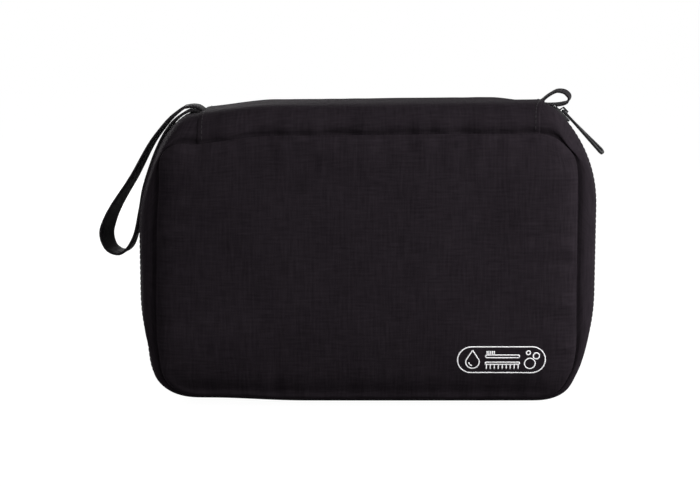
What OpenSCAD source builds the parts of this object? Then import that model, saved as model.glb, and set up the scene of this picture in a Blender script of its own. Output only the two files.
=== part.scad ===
// Hanging toiletry bag. A zip runs down one side, along the bottom and up the other side, so the
// front half is a lid that folds up about the top panel. A hook inside the lid's free edge then
// carries the open bag. Millimetres, +Z up, front towards -Y, origin on the floor under the bag.

/* [Bag] */
// Width across the zip
bag_w = 250; // [236:1:280]
// Height at the top panel
bag_h = 165; // [158:1:190]
// Depth from the front seam to the back seam
bag_d = 90; // [84:1:110]
// Depth of the lid, from the zip to the front seam
lid_d = 35; // [33:1:38]
// Depth over which each gusset turns in to its panel
edge_d = 20; // [16:1:22]
// Length of the top panel between its two stitch lines
top_panel_l = 176; // [150:1:178]

/* [Outline at the zip] */
// Radius of the upper flank
flank_r = 70; // [60:1:76]
// Angle that the upper flank turns through
flank_turn = 46; // [42:1:50]
// Radius of the top shoulder
shoulder_r = 20; // [15:1:24]
// Radius of the lower flank
heel_r = 110; // [90:1:120]
// Angle that the lower flank turns through
heel_turn = 24; // [20:1:28]
// Radius of the bottom corner
toe_r = 26; // [20:1:32]

/* [Front and back panels] */
// How far the panel sits in from the side
panel_side_in = 14.5; // [12:0.5:16]
// How far the panel sits below the top
panel_top_in = 15; // [12:0.5:17]
// How far the panel sits above the base
panel_bottom_in = 5; // [4:0.5:12]
// Radius of the panel's upper flank
panel_flank_r = 12; // [10:1:20]
// Radius of the panel's shoulder
panel_shoulder_r = 12; // [7:0.5:14]
// Radius of the panel's lower flank
panel_heel_r = 60; // [50:1:70]
// Radius of the panel's bottom corner
panel_toe_r = 18; // [14:1:22]
// Crown of the front panel
front_crown = 4; // [2:0.5:6]
// Crown of the back panel
rear_crown = 2; // [1:0.5:4]

/* [Cloth] */
// Thickness of the outer cloth
cloth_t = 1; // [0.8:0.1:1.2]
// Thickness of each gusset's turned hem along the zip
hem_t = 2.4; // [1.8:0.1:2.6]
// Thickness of the foam behind each panel
foam_t = 3; // [2:0.5:4]
// Distance of the foam's edge from the seam
foam_in = 7; // [5:0.5:10]
// Thickness of the lining
lining_t = 0.6; // [0.5:0.1:0.8]
// Clearance between plies
ply_gap = 0.3; // [0.2:0.05:0.4]

/* [Zip] */
// Distance from the middle of the zip to the gusset's edge
zip_reveal = 7; // [6.8:0.1:8]
// Distance from the middle of the zip to the lining's edge
lining_reveal = 8.5; // [8:0.1:10]
// Thickness of the zip tape
tape_t = 0.6; // [0.5:0.1:0.7]
// Distance from the middle of the zip to the tape's inner edge
tape_edge = 1.9; // [1.6:0.1:2.2]
// Distance from the middle of the zip to the tape's outer edge
tape_reach = 12; // [10:0.5:13]
// Width of one half of the coil
coil_w = 3.2; // [3:0.1:3.4]
// Height of the coil
coil_h = 2.2; // [1.8:0.1:2.4]
// Depth of the coil's crest below the outer face
coil_drop = 0.3; // [0.2:0.05:0.5]
// Clearance between the coil and its tape
coil_gap = 0.2; // [0.15:0.05:0.3]
// Distance from tooth to tooth
tooth_pitch = 4.8; // [4:0.1:6]
// How far a tooth reaches to either side of its mean line
tooth_reach = 0.7; // [0.5:0.05:0.8]
// Gap between the two halves of the closed coil
tooth_gap = 0.5; // [0.4:0.05:0.6]
// How far the slider's wedge parts the two halves
wedge_part = 1.7; // [1.6:0.05:1.8]

/* [Slider and pull] */
// Angle on the right flank where the closed slider stops
slider_at = 44; // [40:0.5:45]
// Length of the slider
slider_l = 11; // [10:0.5:12]
// Thickness of the slider's plates
plate_t = 1; // [0.8:0.1:1.2]
// Clearance of the slider over the coil
slider_gap = 0.4; // [0.35:0.05:0.5]
// Thickness of the slider's side rails
rail_t = 0.7; // [0.6:0.05:0.8]
// Length of the pull from its pin to its end
pull_l = 32; // [26:1:40]
// Width of the pull's grip
pull_w = 5.5; // [5:0.1:6]
// Thickness of the pull
pull_t = 1.4; // [1.2:0.1:1.5]
// Length of the slot in the pull's grip
pull_slot_l = 13; // [8:0.5:15]
// Width of the slot in the pull's grip
pull_slot_w = 2.4; // [2:0.1:2.8]
// Radius of the pull's pin
pull_pin_r = 0.65; // [0.5:0.05:0.7]

/* [Strap and tab] */
// Width of the carrying strap
strap_w = 18; // [14:1:22]
// Thickness of the carrying strap
strap_t = 1.6; // [1.2:0.1:1.8]
// Distance from the zip to the near edge of the strap and of the tab loop
strap_off = 5; // [4.6:0.1:6]
// Clearance between the strap or the tab loop and the bag
strap_gap = 0.5; // [0.4:0.05:0.7]
// Width of the tab loop
tab_w = 8; // [6:0.5:10]
// Thickness of the tab loop
tab_t = 1.2; // [1:0.1:1.4]

/* [Pockets] */
// Half the width of the pocket on the back wall
pocket_half_w = 85; // [70:1:88]
// Height of the back pocket's foot above the panel's lower seam
pocket_up = 11; // [9:0.5:16]
// Height of the back pocket above its foot
pocket_h = 78; // [60:1:90]
// How far the back pocket bows out at its middle
pocket_bow = 8; // [7:0.5:10]
// Thickness of the pocket cloth
pocket_t = 0.8; // [0.6:0.1:1]
// Width of the elastic along the top of each pocket
elastic_w = 8; // [6:0.5:10]
// Width of the net pocket in the lid
net_w = 176; // [160:1:180]
// Height of the net pocket's foot above the panel's lower seam
net_up = 27; // [25:0.5:30]
// Height of the net pocket in the lid
net_h = 88; // [80:1:92]
// Distance from one gap of the net to the next
net_pitch = 11; // [10:0.5:14]
// Width of the net's strands
net_strand = 1.6; // [1.2:0.1:2]
// Width of the binding round the net
binding_w = 7; // [5:0.5:9]

/* [Hook] */
// Radius of the hook's rod
rod_r = 2.5; // [2:0.1:2.8]
// Radius of the hook's bend at the middle of its rod
bend_r = 14; // [12:0.5:14]
// Width of the webbing tab that holds the hook
hook_tab_w = 19; // [14:1:22]
// Thickness of the webbing that holds the hook
hook_tab_t = 1; // [0.8:0.1:1.2]
// Radius of the bar in the webbing tab
bar_r = 1.6; // [1.4:0.1:2]
// Height of the bar above the base
bar_z = 12; // [11:0.5:14]

/* [Hidden] */

$fn = 48;
lid = -1;
main = 1;
cloth_colour = [0.13, 0.115, 0.13];
lining_colour = [0.3, 0.3, 0.32];
webbing_colour = [0.09, 0.085, 0.095];
coil_colour = [0.16, 0.15, 0.16];
metal_colour = [0.35, 0.35, 0.36];
net_colour = [0.22, 0.22, 0.24];
plastic_colour = [0.1, 0.1, 0.11];

// Places that other pieces are set out from
zip_y = -bag_d / 2 + lid_d;
main_d = bag_d - lid_d;
stitch_x = top_panel_l / 2;
fold_gap = ply_gap / 2;
tape_in = coil_drop + coil_h + coil_gap;
lining_in = tape_in + tape_t + ply_gap;
wall_in = cloth_t + foam_t + 2 * ply_gap;
edge_in = (panel_side_in + panel_top_in + panel_bottom_in) / 3;

// An outline is half width, lowest z, highest z, then its four radii from the top down
zip_rim = [bag_w / 2, 0, bag_h, flank_r, shoulder_r, heel_r, toe_r];
panel_rim = [bag_w / 2 - panel_side_in, panel_bottom_in, bag_h - panel_top_in,
    panel_flank_r, panel_shoulder_r, panel_heel_r, panel_toe_r];
function lerp(a, b, u) = a + (b - a) * u;
function dir(a) = [cos(a), sin(a)];
function rim(s, inset = 0) = lerp(zip_rim, panel_rim, s) + inset * [-1, 1, -1, -1, -1, -1, -1];

// Centres of the outline's arcs on the right side
function flank_c(o) = [o[0] - o[3], o[2] - o[3] * sin(flank_turn) - o[4] * (1 - sin(flank_turn))];
function shoulder_c(o) = flank_c(o) + (o[3] - o[4]) * dir(flank_turn);
function heel_c(o) = [o[0] - o[5], o[1] + o[5] * sin(heel_turn) + o[6] * (1 - sin(heel_turn))];
function toe_c(o) = heel_c(o) + (o[5] - o[6]) * dir(-heel_turn);

// A stretch of outline is its first and last centre, a radius, and its first and last angle
function right_side(o) = let (s = shoulder_c(o), f = flank_c(o), h = heel_c(o), t = toe_c(o)) [
    [[stitch_x, s[1]], s, o[4], 90, 90],
    [s, s, o[4], 90, flank_turn],
    [f, f, o[3], flank_turn, 0],
    [f, [f[0], h[1]], o[3], 0, 0],
    [h, h, o[5], 0, -heel_turn],
    [t, t, o[6], -heel_turn, -90]
];
function flip(p) = [-p[0], p[1]];
function mirrored(g) = [flip(g[1]), flip(g[0]), g[2], -180 - g[4], -180 - g[3]];
// The whole run of the zip, from the right end of the top panel round the bottom to its left end
function zip_run(o) = let (r = right_side(o), t = toe_c(o), last = len(r) - 1) concat(
    r, [[t, flip(t), o[6], -90, -90]], [for (i = [last:-1:0]) mirrored(r[i])]);

// Points along a run as x, z and the angle of the outward normal, with a count for each stretch
function on_stretch(g, u) = let (a = lerp(g[3], g[4], u), p = lerp(g[0], g[1], u) + g[2] * dir(a))
    [p[0], p[1], a];
function walk(run, counts) = concat(
    [for (k = [0:len(run) - 1]) for (i = [0:counts[k] - 1]) on_stretch(run[k], i / counts[k])],
    [on_stretch(run[len(run) - 1], 1)]);
half_counts = [1, 3, 6, 1, 3, 4];
shell_counts = concat(half_counts, [1], [for (i = [5:-1:0]) half_counts[i]]);

// One row of a soft shell: an outline at depth y, whole or only along the top panel
function row(o, y, top) = top
    ? [for (x = [stitch_x - ply_gap, ply_gap - stitch_x]) [x, y, o[2]]]
    : [for (p = walk(zip_run(o), shell_counts)) [p[0], y, p[1]]];
function unit(v) = v / norm(v);
function flat_of(side) = (side == lid ? lid_d : main_d) - edge_d;
// A row at angle a of the rounded edge, set t below the outer face along the normal there
function edge_row(side, a, t, top) = let (n = unit([cos(a) / edge_in, sin(a) / edge_d]))
    row(rim(1 - cos(a), t * n[0]), zip_y + side * (flat_of(side) + edge_d * sin(a) - t * n[1]), top);
edge_angles = [0, 22.5, 45, 67.5, 90];
// Rows from the zip to the seam: t_zip deep at reveal from the zip, then t, and t_end at the seam
function layer(side, reveal, t_zip, t, t_end, top = false) = concat(
    [row(rim(0, t_zip), zip_y + side * reveal, top)],
    [for (a = edge_angles) edge_row(side, a, lerp(t, t_end, 1 - cos(a)), top)]);

// Solids from rows of points
function joined(lists) = [for (l = lists) for (p = l) p];
function split(q) = [[q[0], q[1], q[2]], [q[0], q[2], q[3]]];
function turned(f) = [for (i = [len(f) - 1:-1:0]) f[i]];
module solid(points, quads, tris, turn) {
    all = concat(joined([for (q = quads) split(q)]), tris);
    polyhedron(points, turn ? [for (f = all) turned(f)] : all, convexity = 12);
}

// A sheet with thickness between two open grids of points
module sheet(outer, inner, side) {
    m = len(outer);
    n = len(outer[0]);
    b = m * n;
    faces = concat(
        [for (j = [0:m - 2]) for (i = [0:n - 2]) [j * n + i, j * n + n + i, j * n + n + i + 1, j * n + i + 1]],
        [for (j = [0:m - 2]) for (i = [0:n - 2])
            [b + j * n + i, b + j * n + i + 1, b + j * n + n + i + 1, b + j * n + n + i]],
        [for (i = [0:n - 2]) [i, i + 1, b + i + 1, b + i]],
        [for (i = [b - n:b - 2]) [i, b + i, b + i + 1, i + 1]],
        [for (j = [0:m - 2]) [j * n, b + j * n, b + j * n + n, j * n + n]],
        [for (j = [0:m - 2]) let (e = j * n + n - 1) [e, e + n, b + e + n, b + e]]);
    solid(concat(joined(outer), joined(inner)), faces, [], side == lid);
}

// A cup with thickness between two grids that close on themselves and end in a middle point each
module cup(outer, inner, outer_mid, inner_mid, side) {
    m = len(outer);
    n = len(outer[0]);
    b = m * n;
    function next(i) = (i + 1) % n;
    faces = concat(
        [for (j = [0:m - 2]) for (i = [0:n - 1])
            [j * n + i, j * n + n + i, j * n + n + next(i), j * n + next(i)]],
        [for (j = [0:m - 2]) for (i = [0:n - 1])
            [b + j * n + i, b + j * n + next(i), b + j * n + n + next(i), b + j * n + n + i]],
        [for (i = [0:n - 1]) [i, next(i), b + next(i), b + i]]);
    fans = concat(
        [for (i = [0:n - 1]) [b - n + i, 2 * b, b - n + next(i)]],
        [for (i = [0:n - 1]) [2 * b - n + i, 2 * b - n + next(i), 2 * b + 1]]);
    solid(concat(joined(outer), joined(inner), [outer_mid, inner_mid]), faces, fans, side == lid);
}

// A bar swept through rings of four points, closed at both ends
module bar(rings, turn) {
    n = 4;
    m = len(rings);
    faces = concat(
        [for (j = [0:m - 2]) for (i = [0:n - 1])
            [j * n + i, j * n + (i + 1) % n, j * n + n + (i + 1) % n, j * n + n + i]],
        [[3, 2, 1, 0]], [[for (i = [0:n - 1]) (m - 1) * n + i]]);
    solid(joined(rings), faces, [], turn);
}

// Soft shells shared by the lid and the main half
module gusset(side) {
    sheet(layer(side, zip_reveal, 0, 0, 0), layer(side, zip_reveal, hem_t, cloth_t, cloth_t), side);
}
module top_panel(side) {
    sheet(layer(side, fold_gap, 0, 0, 0, true), layer(side, fold_gap, cloth_t, cloth_t, cloth_t, true), side);
}
module lining(side) {
    wall_y = zip_y + side * ((side == lid ? lid_d : main_d) - wall_in);
    mid_z = (panel_rim[1] + panel_rim[2]) / 2;
    cup(layer(side, lining_reveal, lining_in, lining_in, wall_in),
        layer(side, lining_reveal, lining_in + lining_t, lining_in + lining_t, wall_in + lining_t),
        [0, wall_y, mid_z], [0, wall_y - side * lining_t, mid_z], side);
}
// A crowned pad that fills a share of the panel's outline, from depth y0 to y1 behind the seam
module pad(side, share, y0, y1, crown) {
    mid_z = (panel_rim[1] + panel_rim[2]) / 2;
    seam_y = zip_y + side * (side == lid ? lid_d : main_d);
    steps = [1, 0.7, 0.35];
    function ring(f, y) = [for (p = row(panel_rim, 0, false))
        [p[0] * f, seam_y + side * (crown * (1 - f * f) - y), mid_z + (p[2] - mid_z) * f]];
    cup([for (k = steps) ring(k * share, y0)], [for (k = steps) ring(k * share, y1)],
        [0, seam_y + side * (crown - y0), mid_z], [0, seam_y + side * (crown - y1), mid_z], side);
}
panel_half_h = (panel_rim[2] - panel_rim[1]) / 2;
panel_share = 1 - ply_gap / panel_half_h;
foam_share = 1 - foam_in / panel_half_h;
foam_y = cloth_t + ply_gap;

// Zip
module zip_tape(side) {
    rows = [tape_edge, tape_reach];
    sheet([for (r = rows) row(rim(0, tape_in), zip_y + side * r, false)],
        [for (r = rows) row(rim(0, tape_in + tape_t), zip_y + side * r, false)], side);
}
function stretch_l(g) = norm(g[1] - g[0]) + g[2] * abs(g[4] - g[3]) * PI / 180;
coil_run = zip_run(rim(0));
coil_counts = [for (g = coil_run) max(1, round(2 * stretch_l(g) / tooth_pitch))];
// The closed slider's wedge holds the two halves apart from its tip to the end of the zip
wedge_tip = slider_at - 2;
wedge_full = slider_at + 2.7;
function parted(a) = a < wedge_tip ? 0 : wedge_part * min(1, (a - wedge_tip) / (wedge_full - wedge_tip));
// Each ring is a little higher at the tape than at the tooth, and every other ring reaches across
module zip_coil(side) {
    stops = walk(coil_run, coil_counts);
    head_share = 0.7;
    half = coil_h / 2;
    mid = -coil_drop - half;
    bar([for (k = [0:len(stops) - 1])
        let (p = stops[k], d = dir(p[2]), y = zip_y + side * parted(p[2]),
            tooth = y + side * tooth_gap / 2 + tooth_reach * (k % 2 == 0 ? 1 : -1),
            root = y + side * coil_w)
        [for (c = [[-1, root], [1, root], [head_share, tooth], [-head_share, tooth]])
            let (w = mid + half * c[0]) [p[0] + w * d[0], c[1], p[1] + w * d[1]]]], side == lid);
}

// The slider's own frame: x down the zip, y across it, z away from the bag, zero on the outline
flank_o = flank_c(rim(0));
module at_slider() {
    translate([flank_o[0], zip_y, flank_o[1]]) rotate([0, 90 - slider_at, 0]) translate([0, 0, flank_r]) children();
}
mouth_in = coil_w + slider_gap + 0.2;
nose_in = coil_w + wedge_part + 2 * slider_gap - 0.2;
top_z = slider_gap - coil_drop;
tape_top = -tape_in;
under_z = tape_top - tape_t - 3 * slider_gap;
rail_z = tape_top + slider_gap;
wide_x = -slider_l / 4;
chamfer = 0.6;
module shield(w) {
    end = slider_l / 2;
    polygon([[end, mouth_in + w - chamfer], [end - chamfer, mouth_in + w], [wide_x, nose_in + w],
        [chamfer - end, nose_in + w], [-end, nose_in + w - chamfer], [-end, -nose_in - w + chamfer],
        [chamfer - end, -nose_in - w], [wide_x, -nose_in - w], [end - chamfer, -mouth_in - w],
        [end, -mouth_in - w + chamfer]]);
}
module channel() {
    end = slider_l;
    polygon([[end, mouth_in], [wide_x, nose_in], [-end, nose_in], [-end, -nose_in], [wide_x, -nose_in],
        [end, -mouth_in]]);
}
wedge_half = 0.9;
pin_z = top_z + plate_t + 1.1;
eye_r = 0.9;
bail_l = 5.2;
bail_w = 1.6;
bail_wall = 1;
pin_room = 0.25;
module bail() {
    window_l = bail_l - 2 * bail_wall;
    window_h = pin_z + pull_pin_r + pin_room - top_z - plate_t;
    translate([-bail_l / 2, bail_w / 2, top_z + plate_t]) rotate([90, 0, 0]) linear_extrude(bail_w) difference() {
        polygon([[0, 0], [bail_wall * 0.8, window_h + bail_wall], [bail_l - bail_wall * 0.8, window_h + bail_wall],
            [bail_l, 0]]);
        translate([bail_wall, -1]) square([window_l, window_h + 1]);
    }
}

// Strap and tab
function curve_at(a, b, c, d, u) = 0.5 * (2 * b + (c - a) * u + (2 * a - 5 * b + 4 * c - d) * u * u
    + (3 * b - a - 3 * c + d) * u * u * u);
function smooth(p, n) = let (last = len(p) - 1) concat(
    [for (k = [0:last - 1]) for (i = [0:n - 1])
        curve_at(p[max(k - 1, 0)], p[k], p[k + 1], p[min(k + 2, last)], i / n)], [p[last]]);
// A flat band t thick that follows points in x and z, between depths y0 and y1
module band(p, t, y0, y1) {
    last = len(p) - 1;
    bar([for (i = [0:last])
        let (d = unit(p[min(i + 1, last)] - p[max(i - 1, 0)]), n = [-d[1], d[0]] * t / 2)
        [for (c = [[1, y0], [1, y1], [-1, y1], [-1, y0]])
            [p[i][0] + c[0] * n[0], c[1], p[i][1] + c[0] * n[1]]]], false);
}
near_y = zip_y + strap_off;
shoulder_o = shoulder_c(rim(0));
// Places round the left flank's centre, as an angle above the horizontal and a stand-off from the bag
function by_flank(a, off) = flip(flank_o + (flank_r + off) * dir(a));
function by_shoulder(a, off) = flip(shoulder_o + (shoulder_r + off) * dir(a));
lay = strap_gap + strap_t / 2;
ply = strap_t + ply_gap;
strap_free = [[50, 1.6], [42, 2.2], [32, 3], [20, 5], [6, 10], [-7, 19], [-12, 22.5], [-16.5, 21.5],
    [-19, 17], [-18.5, 11.5], [-15, 6.5], [-9.5, 2.5]];
strap_root_a = 80;
strap_path = smooth(concat(
    [for (a = [strap_root_a, 66]) by_shoulder(a, lay + ply)],
    [for (q = strap_free) by_flank(q[0], lay + q[1])],
    [for (a = [-2, 8, 17, 26, 35, 43]) by_flank(a, lay + (a < 0 ? 0.3 : 0))],
    [for (a = [52, 66, strap_root_a]) by_shoulder(a, lay)]), 3);

tab_root_a = 82;
tab_lay = strap_gap + tab_t / 2;
tab_ply = tab_t + ply_gap;
tab_free = [[68, 3.3], [62.5, 7], [58, 8.7], [53, 9.6], [47.5, 9.1], [45.5, 6.4], [48.5, 3.4], [55, 0.7]];
tab_path = smooth(concat(
    [flip(by_shoulder(tab_root_a, tab_lay + tab_ply))],
    [for (q = tab_free) flip(by_shoulder(q[0], tab_lay + tab_ply + q[1]))],
    [for (a = [66, 74, tab_root_a]) flip(by_shoulder(a, tab_lay))]), 3);

// Pockets
wall_face = wall_in + lining_t;
rear_wall_y = zip_y + main_d - wall_face;
lid_wall_y = zip_y - lid_d + wall_face;
pocket_z = panel_rim[1] + pocket_up;
// A bowed strip on the back wall, t thick and off in front of the pocket cloth
module bowed(t, off, z0, z1) {
    steps = 16;
    function bow(u) = pocket_bow * (1 - u * u);
    us = [for (i = [0:steps]) 2 * i / steps - 1];
    front = [for (u = us) [u * pocket_half_w, rear_wall_y - ply_gap - t - off - bow(u)]];
    back = [for (i = [steps:-1:0]) let (u = us[i]) [u * pocket_half_w, rear_wall_y - ply_gap - off - bow(u)]];
    translate([0, 0, z0]) linear_extrude(z1 - z0) polygon(concat(front, back));
}
net_z = panel_rim[1] + net_up;
net_t = 0.8;
// Stands a plan in x and z up against the lid's inner wall, off in front of it
module on_lid_wall(off, t) {
    translate([0, lid_wall_y + off + t, 0]) rotate([90, 0, 0]) linear_extrude(t) children();
}

// Hook
bar_y = zip_y - lining_reveal - 1.5;
bar_gap = 0.3;
swivel_gap = 0.06;
frame_t = 2.6;
frame_in = hook_tab_w / 2 + 0.7;
collar_z = 8.5;
collar_h = 6.5;
collar_r = 5.5;
head_r = 4;
head_h = 2;
neck_gap = 0.4;
neck_z = collar_z + collar_h + neck_gap;
bend_z = neck_z + rod_r + bend_r;
tip_a = 165;
module at_hook() {
    translate([0, bar_y, bar_z]) children();
}
// An arc of rod in the x z plane
module rod_arc(c, r, a0, a1) {
    translate([c[0], 0, c[1]]) rotate([90, 0, 0]) rotate([0, 0, a0]) rotate_extrude(angle = a1 - a0)
        translate([r, 0]) circle(rod_r);
}

module rear_panel() color(cloth_colour) pad(main, panel_share, 0, cloth_t, rear_crown);
module rear_foam() color(lining_colour) pad(main, foam_share, foam_y, foam_y + foam_t, rear_crown);
module rear_gusset() color(cloth_colour) gusset(main);
module main_lining() color(lining_colour) lining(main);
module top_panel_rear() color(cloth_colour) top_panel(main);
module zip_tape_rear() color(webbing_colour) zip_tape(main);
module zip_coil_rear() color(coil_colour) zip_coil(main);
module front_panel() color(cloth_colour) pad(lid, panel_share, 0, cloth_t, front_crown);
module front_foam() color(lining_colour) pad(lid, foam_share, foam_y, foam_y + foam_t, front_crown);
module front_gusset() color(cloth_colour) gusset(lid);
module lid_lining() color(lining_colour) lining(lid);
module top_panel_front() color(cloth_colour) top_panel(lid);
module zip_tape_front() color(webbing_colour) zip_tape(lid);
module zip_coil_front() color(coil_colour) zip_coil(lid);
module carry_strap() color(webbing_colour) band(strap_path, strap_t, near_y, near_y + strap_w);
module tab_loop() color(webbing_colour) band(tab_path, tab_t, near_y, near_y + tab_w);

module inner_pocket() color(lining_colour) bowed(pocket_t, 0, pocket_z, pocket_z + pocket_h);
module pocket_elastic() color(webbing_colour) bowed(pocket_t, pocket_t + ply_gap,
    pocket_z + pocket_h - elastic_w, pocket_z + pocket_h);

module mesh_net() color(net_colour) on_lid_wall(ply_gap, net_t) difference() {
    translate([-net_w / 2, net_z]) square([net_w, net_h]);
    nx = floor((net_w - 2 * binding_w) / net_pitch);
    nz = floor((net_h - binding_w - elastic_w) / net_pitch);
    gap = net_pitch - net_strand;
    for (i = [0:nx - 1]) for (k = [0:nz - 1])
        translate([(i - nx / 2) * net_pitch + net_strand / 2, net_z + binding_w + k * net_pitch]) square(gap);
}
module mesh_binding() color(webbing_colour) on_lid_wall(net_t + 2 * ply_gap, net_t) difference() {
    translate([-net_w / 2, net_z]) square([net_w, net_h]);
    translate([binding_w - net_w / 2, net_z + binding_w]) square([net_w - 2 * binding_w, net_h]);
}
module mesh_elastic() color(webbing_colour) on_lid_wall(net_t + 2 * ply_gap, net_t)
    translate([binding_w + ply_gap - net_w / 2, net_z + net_h - elastic_w])
        square([net_w - 2 * binding_w - 2 * ply_gap, elastic_w]);

module hook_tab() color(webbing_colour) at_hook() translate([-hook_tab_w / 2, 0, 0]) rotate([90, 0, 90])
    linear_extrude(hook_tab_w) difference() {
        tail = bar_z - lining_in - lining_t - ply_gap;
        union() {
            circle(bar_r + bar_gap + hook_tab_t);
            translate([-hook_tab_t, -tail]) square([2 * hook_tab_t, tail]);
        }
        circle(bar_r + bar_gap);
    }

module hook_frame() color(plastic_colour) at_hook() {
    arm_x = frame_in + frame_t;
    difference() {
        union() {
            translate([-arm_x, 0, 0]) rotate([0, 90, 0]) cylinder(r = bar_r, h = 2 * arm_x);
            for (x = [frame_in, -arm_x]) translate([x, -bar_r, 0]) cube([frame_t, 2 * bar_r, collar_z + collar_h - 2]);
            translate([-arm_x, -bar_r, collar_z]) cube([2 * arm_x, 2 * bar_r, collar_h - 2]);
            translate([0, 0, collar_z]) cylinder(r = collar_r, h = collar_h);
        }
        translate([0, 0, collar_z - 1]) cylinder(r = rod_r + swivel_gap, h = collar_h + 2);
    }
}

module hook() color(plastic_colour) at_hook() {
    head_z = collar_z - bar_gap - head_h;
    translate([0, 0, head_z]) cylinder(r = head_r, h = head_h);
    translate([0, 0, head_z]) cylinder(r = rod_r, h = bend_z - bend_r - head_z);
    translate([0, 0, neck_z]) cylinder(r1 = head_r, r2 = rod_r + 0.2, h = rod_r + 1);
    rod_arc([0, bend_z], bend_r, -90, tip_a);
    translate([bend_r * cos(tip_a), 0, bend_z + bend_r * sin(tip_a)]) sphere(rod_r + 0.5);
}

module zip_slider() color(metal_colour) at_slider() {
    translate([0, 0, top_z]) linear_extrude(plate_t) shield(rail_t);
    translate([0, 0, under_z - plate_t]) linear_extrude(plate_t) shield(rail_t);
    translate([0, 0, rail_z]) linear_extrude(top_z - rail_z) difference() {
        shield(rail_t);
        channel();
    }
    translate([0, 0, under_z]) linear_extrude(top_z - under_z)
        polygon([[-1.6, 0], [-3.6, wedge_half], [-slider_l / 2, wedge_half * 0.7],
            [-slider_l / 2, -wedge_half * 0.7], [-3.6, -wedge_half]]);
    bail();
}

module zip_pull() color(metal_colour) at_slider() translate([0, 0, pin_z]) {
    cheek = 1;
    cheek_in = bail_w / 2 + pin_room;
    cheek_out = cheek_in + cheek;
    neck_x = 4.2;
    grip_x = pull_l - pull_w / 2;
    slot_x = grip_x - pull_slot_l + pull_slot_w;
    translate([0, cheek_out, 0]) rotate([90, 0, 0]) cylinder(r = pull_pin_r, h = 2 * cheek_out);
    for (y = [cheek_out, -cheek_in]) {
        translate([0, y, 0]) rotate([90, 0, 0]) cylinder(r = eye_r, h = cheek);
        translate([0, y - cheek, -pull_t / 2]) cube([neck_x + 1, cheek, pull_t]);
    }
    translate([0, 0, -pull_t / 2]) linear_extrude(pull_t) difference() {
        union() {
            polygon([[neck_x, cheek_out], [grip_x, pull_w / 2], [grip_x, -pull_w / 2], [neck_x, -cheek_out]]);
            translate([grip_x, 0]) circle(pull_w / 2);
        }
        for (x = [slot_x, grip_x]) translate([x, 0]) circle(pull_slot_w / 2);
        translate([slot_x, -pull_slot_w / 2]) square([grip_x - slot_x, pull_slot_w]);
    }
}

rear_panel();
rear_foam();
rear_gusset();
main_lining();
top_panel_rear();
zip_tape_rear();
zip_coil_rear();
tab_loop();
inner_pocket();
pocket_elastic();
front_panel();
front_foam();
front_gusset();
lid_lining();
top_panel_front();
zip_tape_front();
zip_coil_front();
mesh_net();
mesh_binding();
mesh_elastic();
hook_tab();
zip_slider();
zip_pull();
carry_strap();
hook_frame();
hook();
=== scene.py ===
# %% [markdown]
# Hanging toiletry bag, dressed for a picture
#
# The bag is two padded halves of black cloth. A zip runs down one side, along the bottom and up the
# other, so the front half is a lid that folds up about the top panel. The imported model holds the
# pieces at their real size and says which of them move. This lesson dresses them: each soft solid is
# replaced by cloth that bulges and puckers, and the hard ones get their finish.
#
# We start by loading that model.

# %% Load the frame
import math
from contextlib import contextmanager

import bmesh
import bpy
import numpy as np
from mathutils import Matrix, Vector, noise
from mathutils.bvhtree import BVHTree
from mathutils.geometry import delaunay_2d_cdt


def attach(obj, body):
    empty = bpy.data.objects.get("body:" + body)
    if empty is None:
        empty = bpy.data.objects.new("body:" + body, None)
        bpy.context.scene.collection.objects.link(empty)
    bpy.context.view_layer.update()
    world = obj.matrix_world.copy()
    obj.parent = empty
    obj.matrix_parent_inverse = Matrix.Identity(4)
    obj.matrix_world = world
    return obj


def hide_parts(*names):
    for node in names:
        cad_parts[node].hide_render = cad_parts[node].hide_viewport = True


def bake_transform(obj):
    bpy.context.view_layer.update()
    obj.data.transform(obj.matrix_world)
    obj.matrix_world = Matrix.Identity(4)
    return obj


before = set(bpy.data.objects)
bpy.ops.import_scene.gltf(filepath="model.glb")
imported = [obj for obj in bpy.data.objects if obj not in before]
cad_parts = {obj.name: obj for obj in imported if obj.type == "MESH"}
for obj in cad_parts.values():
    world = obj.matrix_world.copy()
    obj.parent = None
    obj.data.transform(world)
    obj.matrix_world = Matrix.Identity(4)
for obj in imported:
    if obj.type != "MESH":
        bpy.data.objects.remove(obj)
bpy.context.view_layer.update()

# %% [markdown]
# The camera
#
# The camera comes first, because everything else is judged through it. The bag fills about two
# thirds of a wide picture and is seen from straight ahead, a little from above. A long lens keeps the
# sides nearly parallel, as a product photographer would. The aim is a little off the bag's middle,
# because the strap takes up room on the left.

# %% Place the camera
CAMERA_BACK = 0.9
CAMERA_RISE = 8.5
PICTURE_W = 0.391
SENSOR_MM = 36.0
AIM = Vector((-0.0096, 0.0, 0.0848))


def add_object(name, data):
    """A new object in the scene."""
    thing = bpy.data.objects.new(name, data)
    bpy.context.scene.collection.objects.link(thing)
    return thing


def add_camera():
    """A long lens straight ahead of the bag, a little above it."""
    data = bpy.data.cameras.new("camera")
    data.sensor_width = SENSOR_MM
    data.lens = SENSOR_MM * CAMERA_BACK / PICTURE_W
    camera = add_object("camera", data)
    rise = math.radians(CAMERA_RISE)
    back = Vector((0.0, -math.cos(rise), math.sin(rise)))
    camera.location = AIM + back * CAMERA_BACK
    camera.rotation_euler = (-back).to_track_quat("-Z", "Y").to_euler()
    bpy.context.scene.camera = camera
    return camera


print("camera: lens", round(add_camera().data.lens, 1), "mm")

# %% [markdown]
# The outline that everything follows
#
# Seen from the front the bag is a rounded rectangle whose sides lean and swell. Its right side is a
# chain of arcs: a small shoulder, a long flank, a straight, a wide heel and a round toe. The left side
# mirrors it. The cloth is cut to two such outlines, a large one at the zip and a small one at the seam
# of each panel, and every row between them is a mix of the two. Writing the outline once, as a
# formula, is what keeps tape, teeth, hems and stitches lined up.

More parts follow.
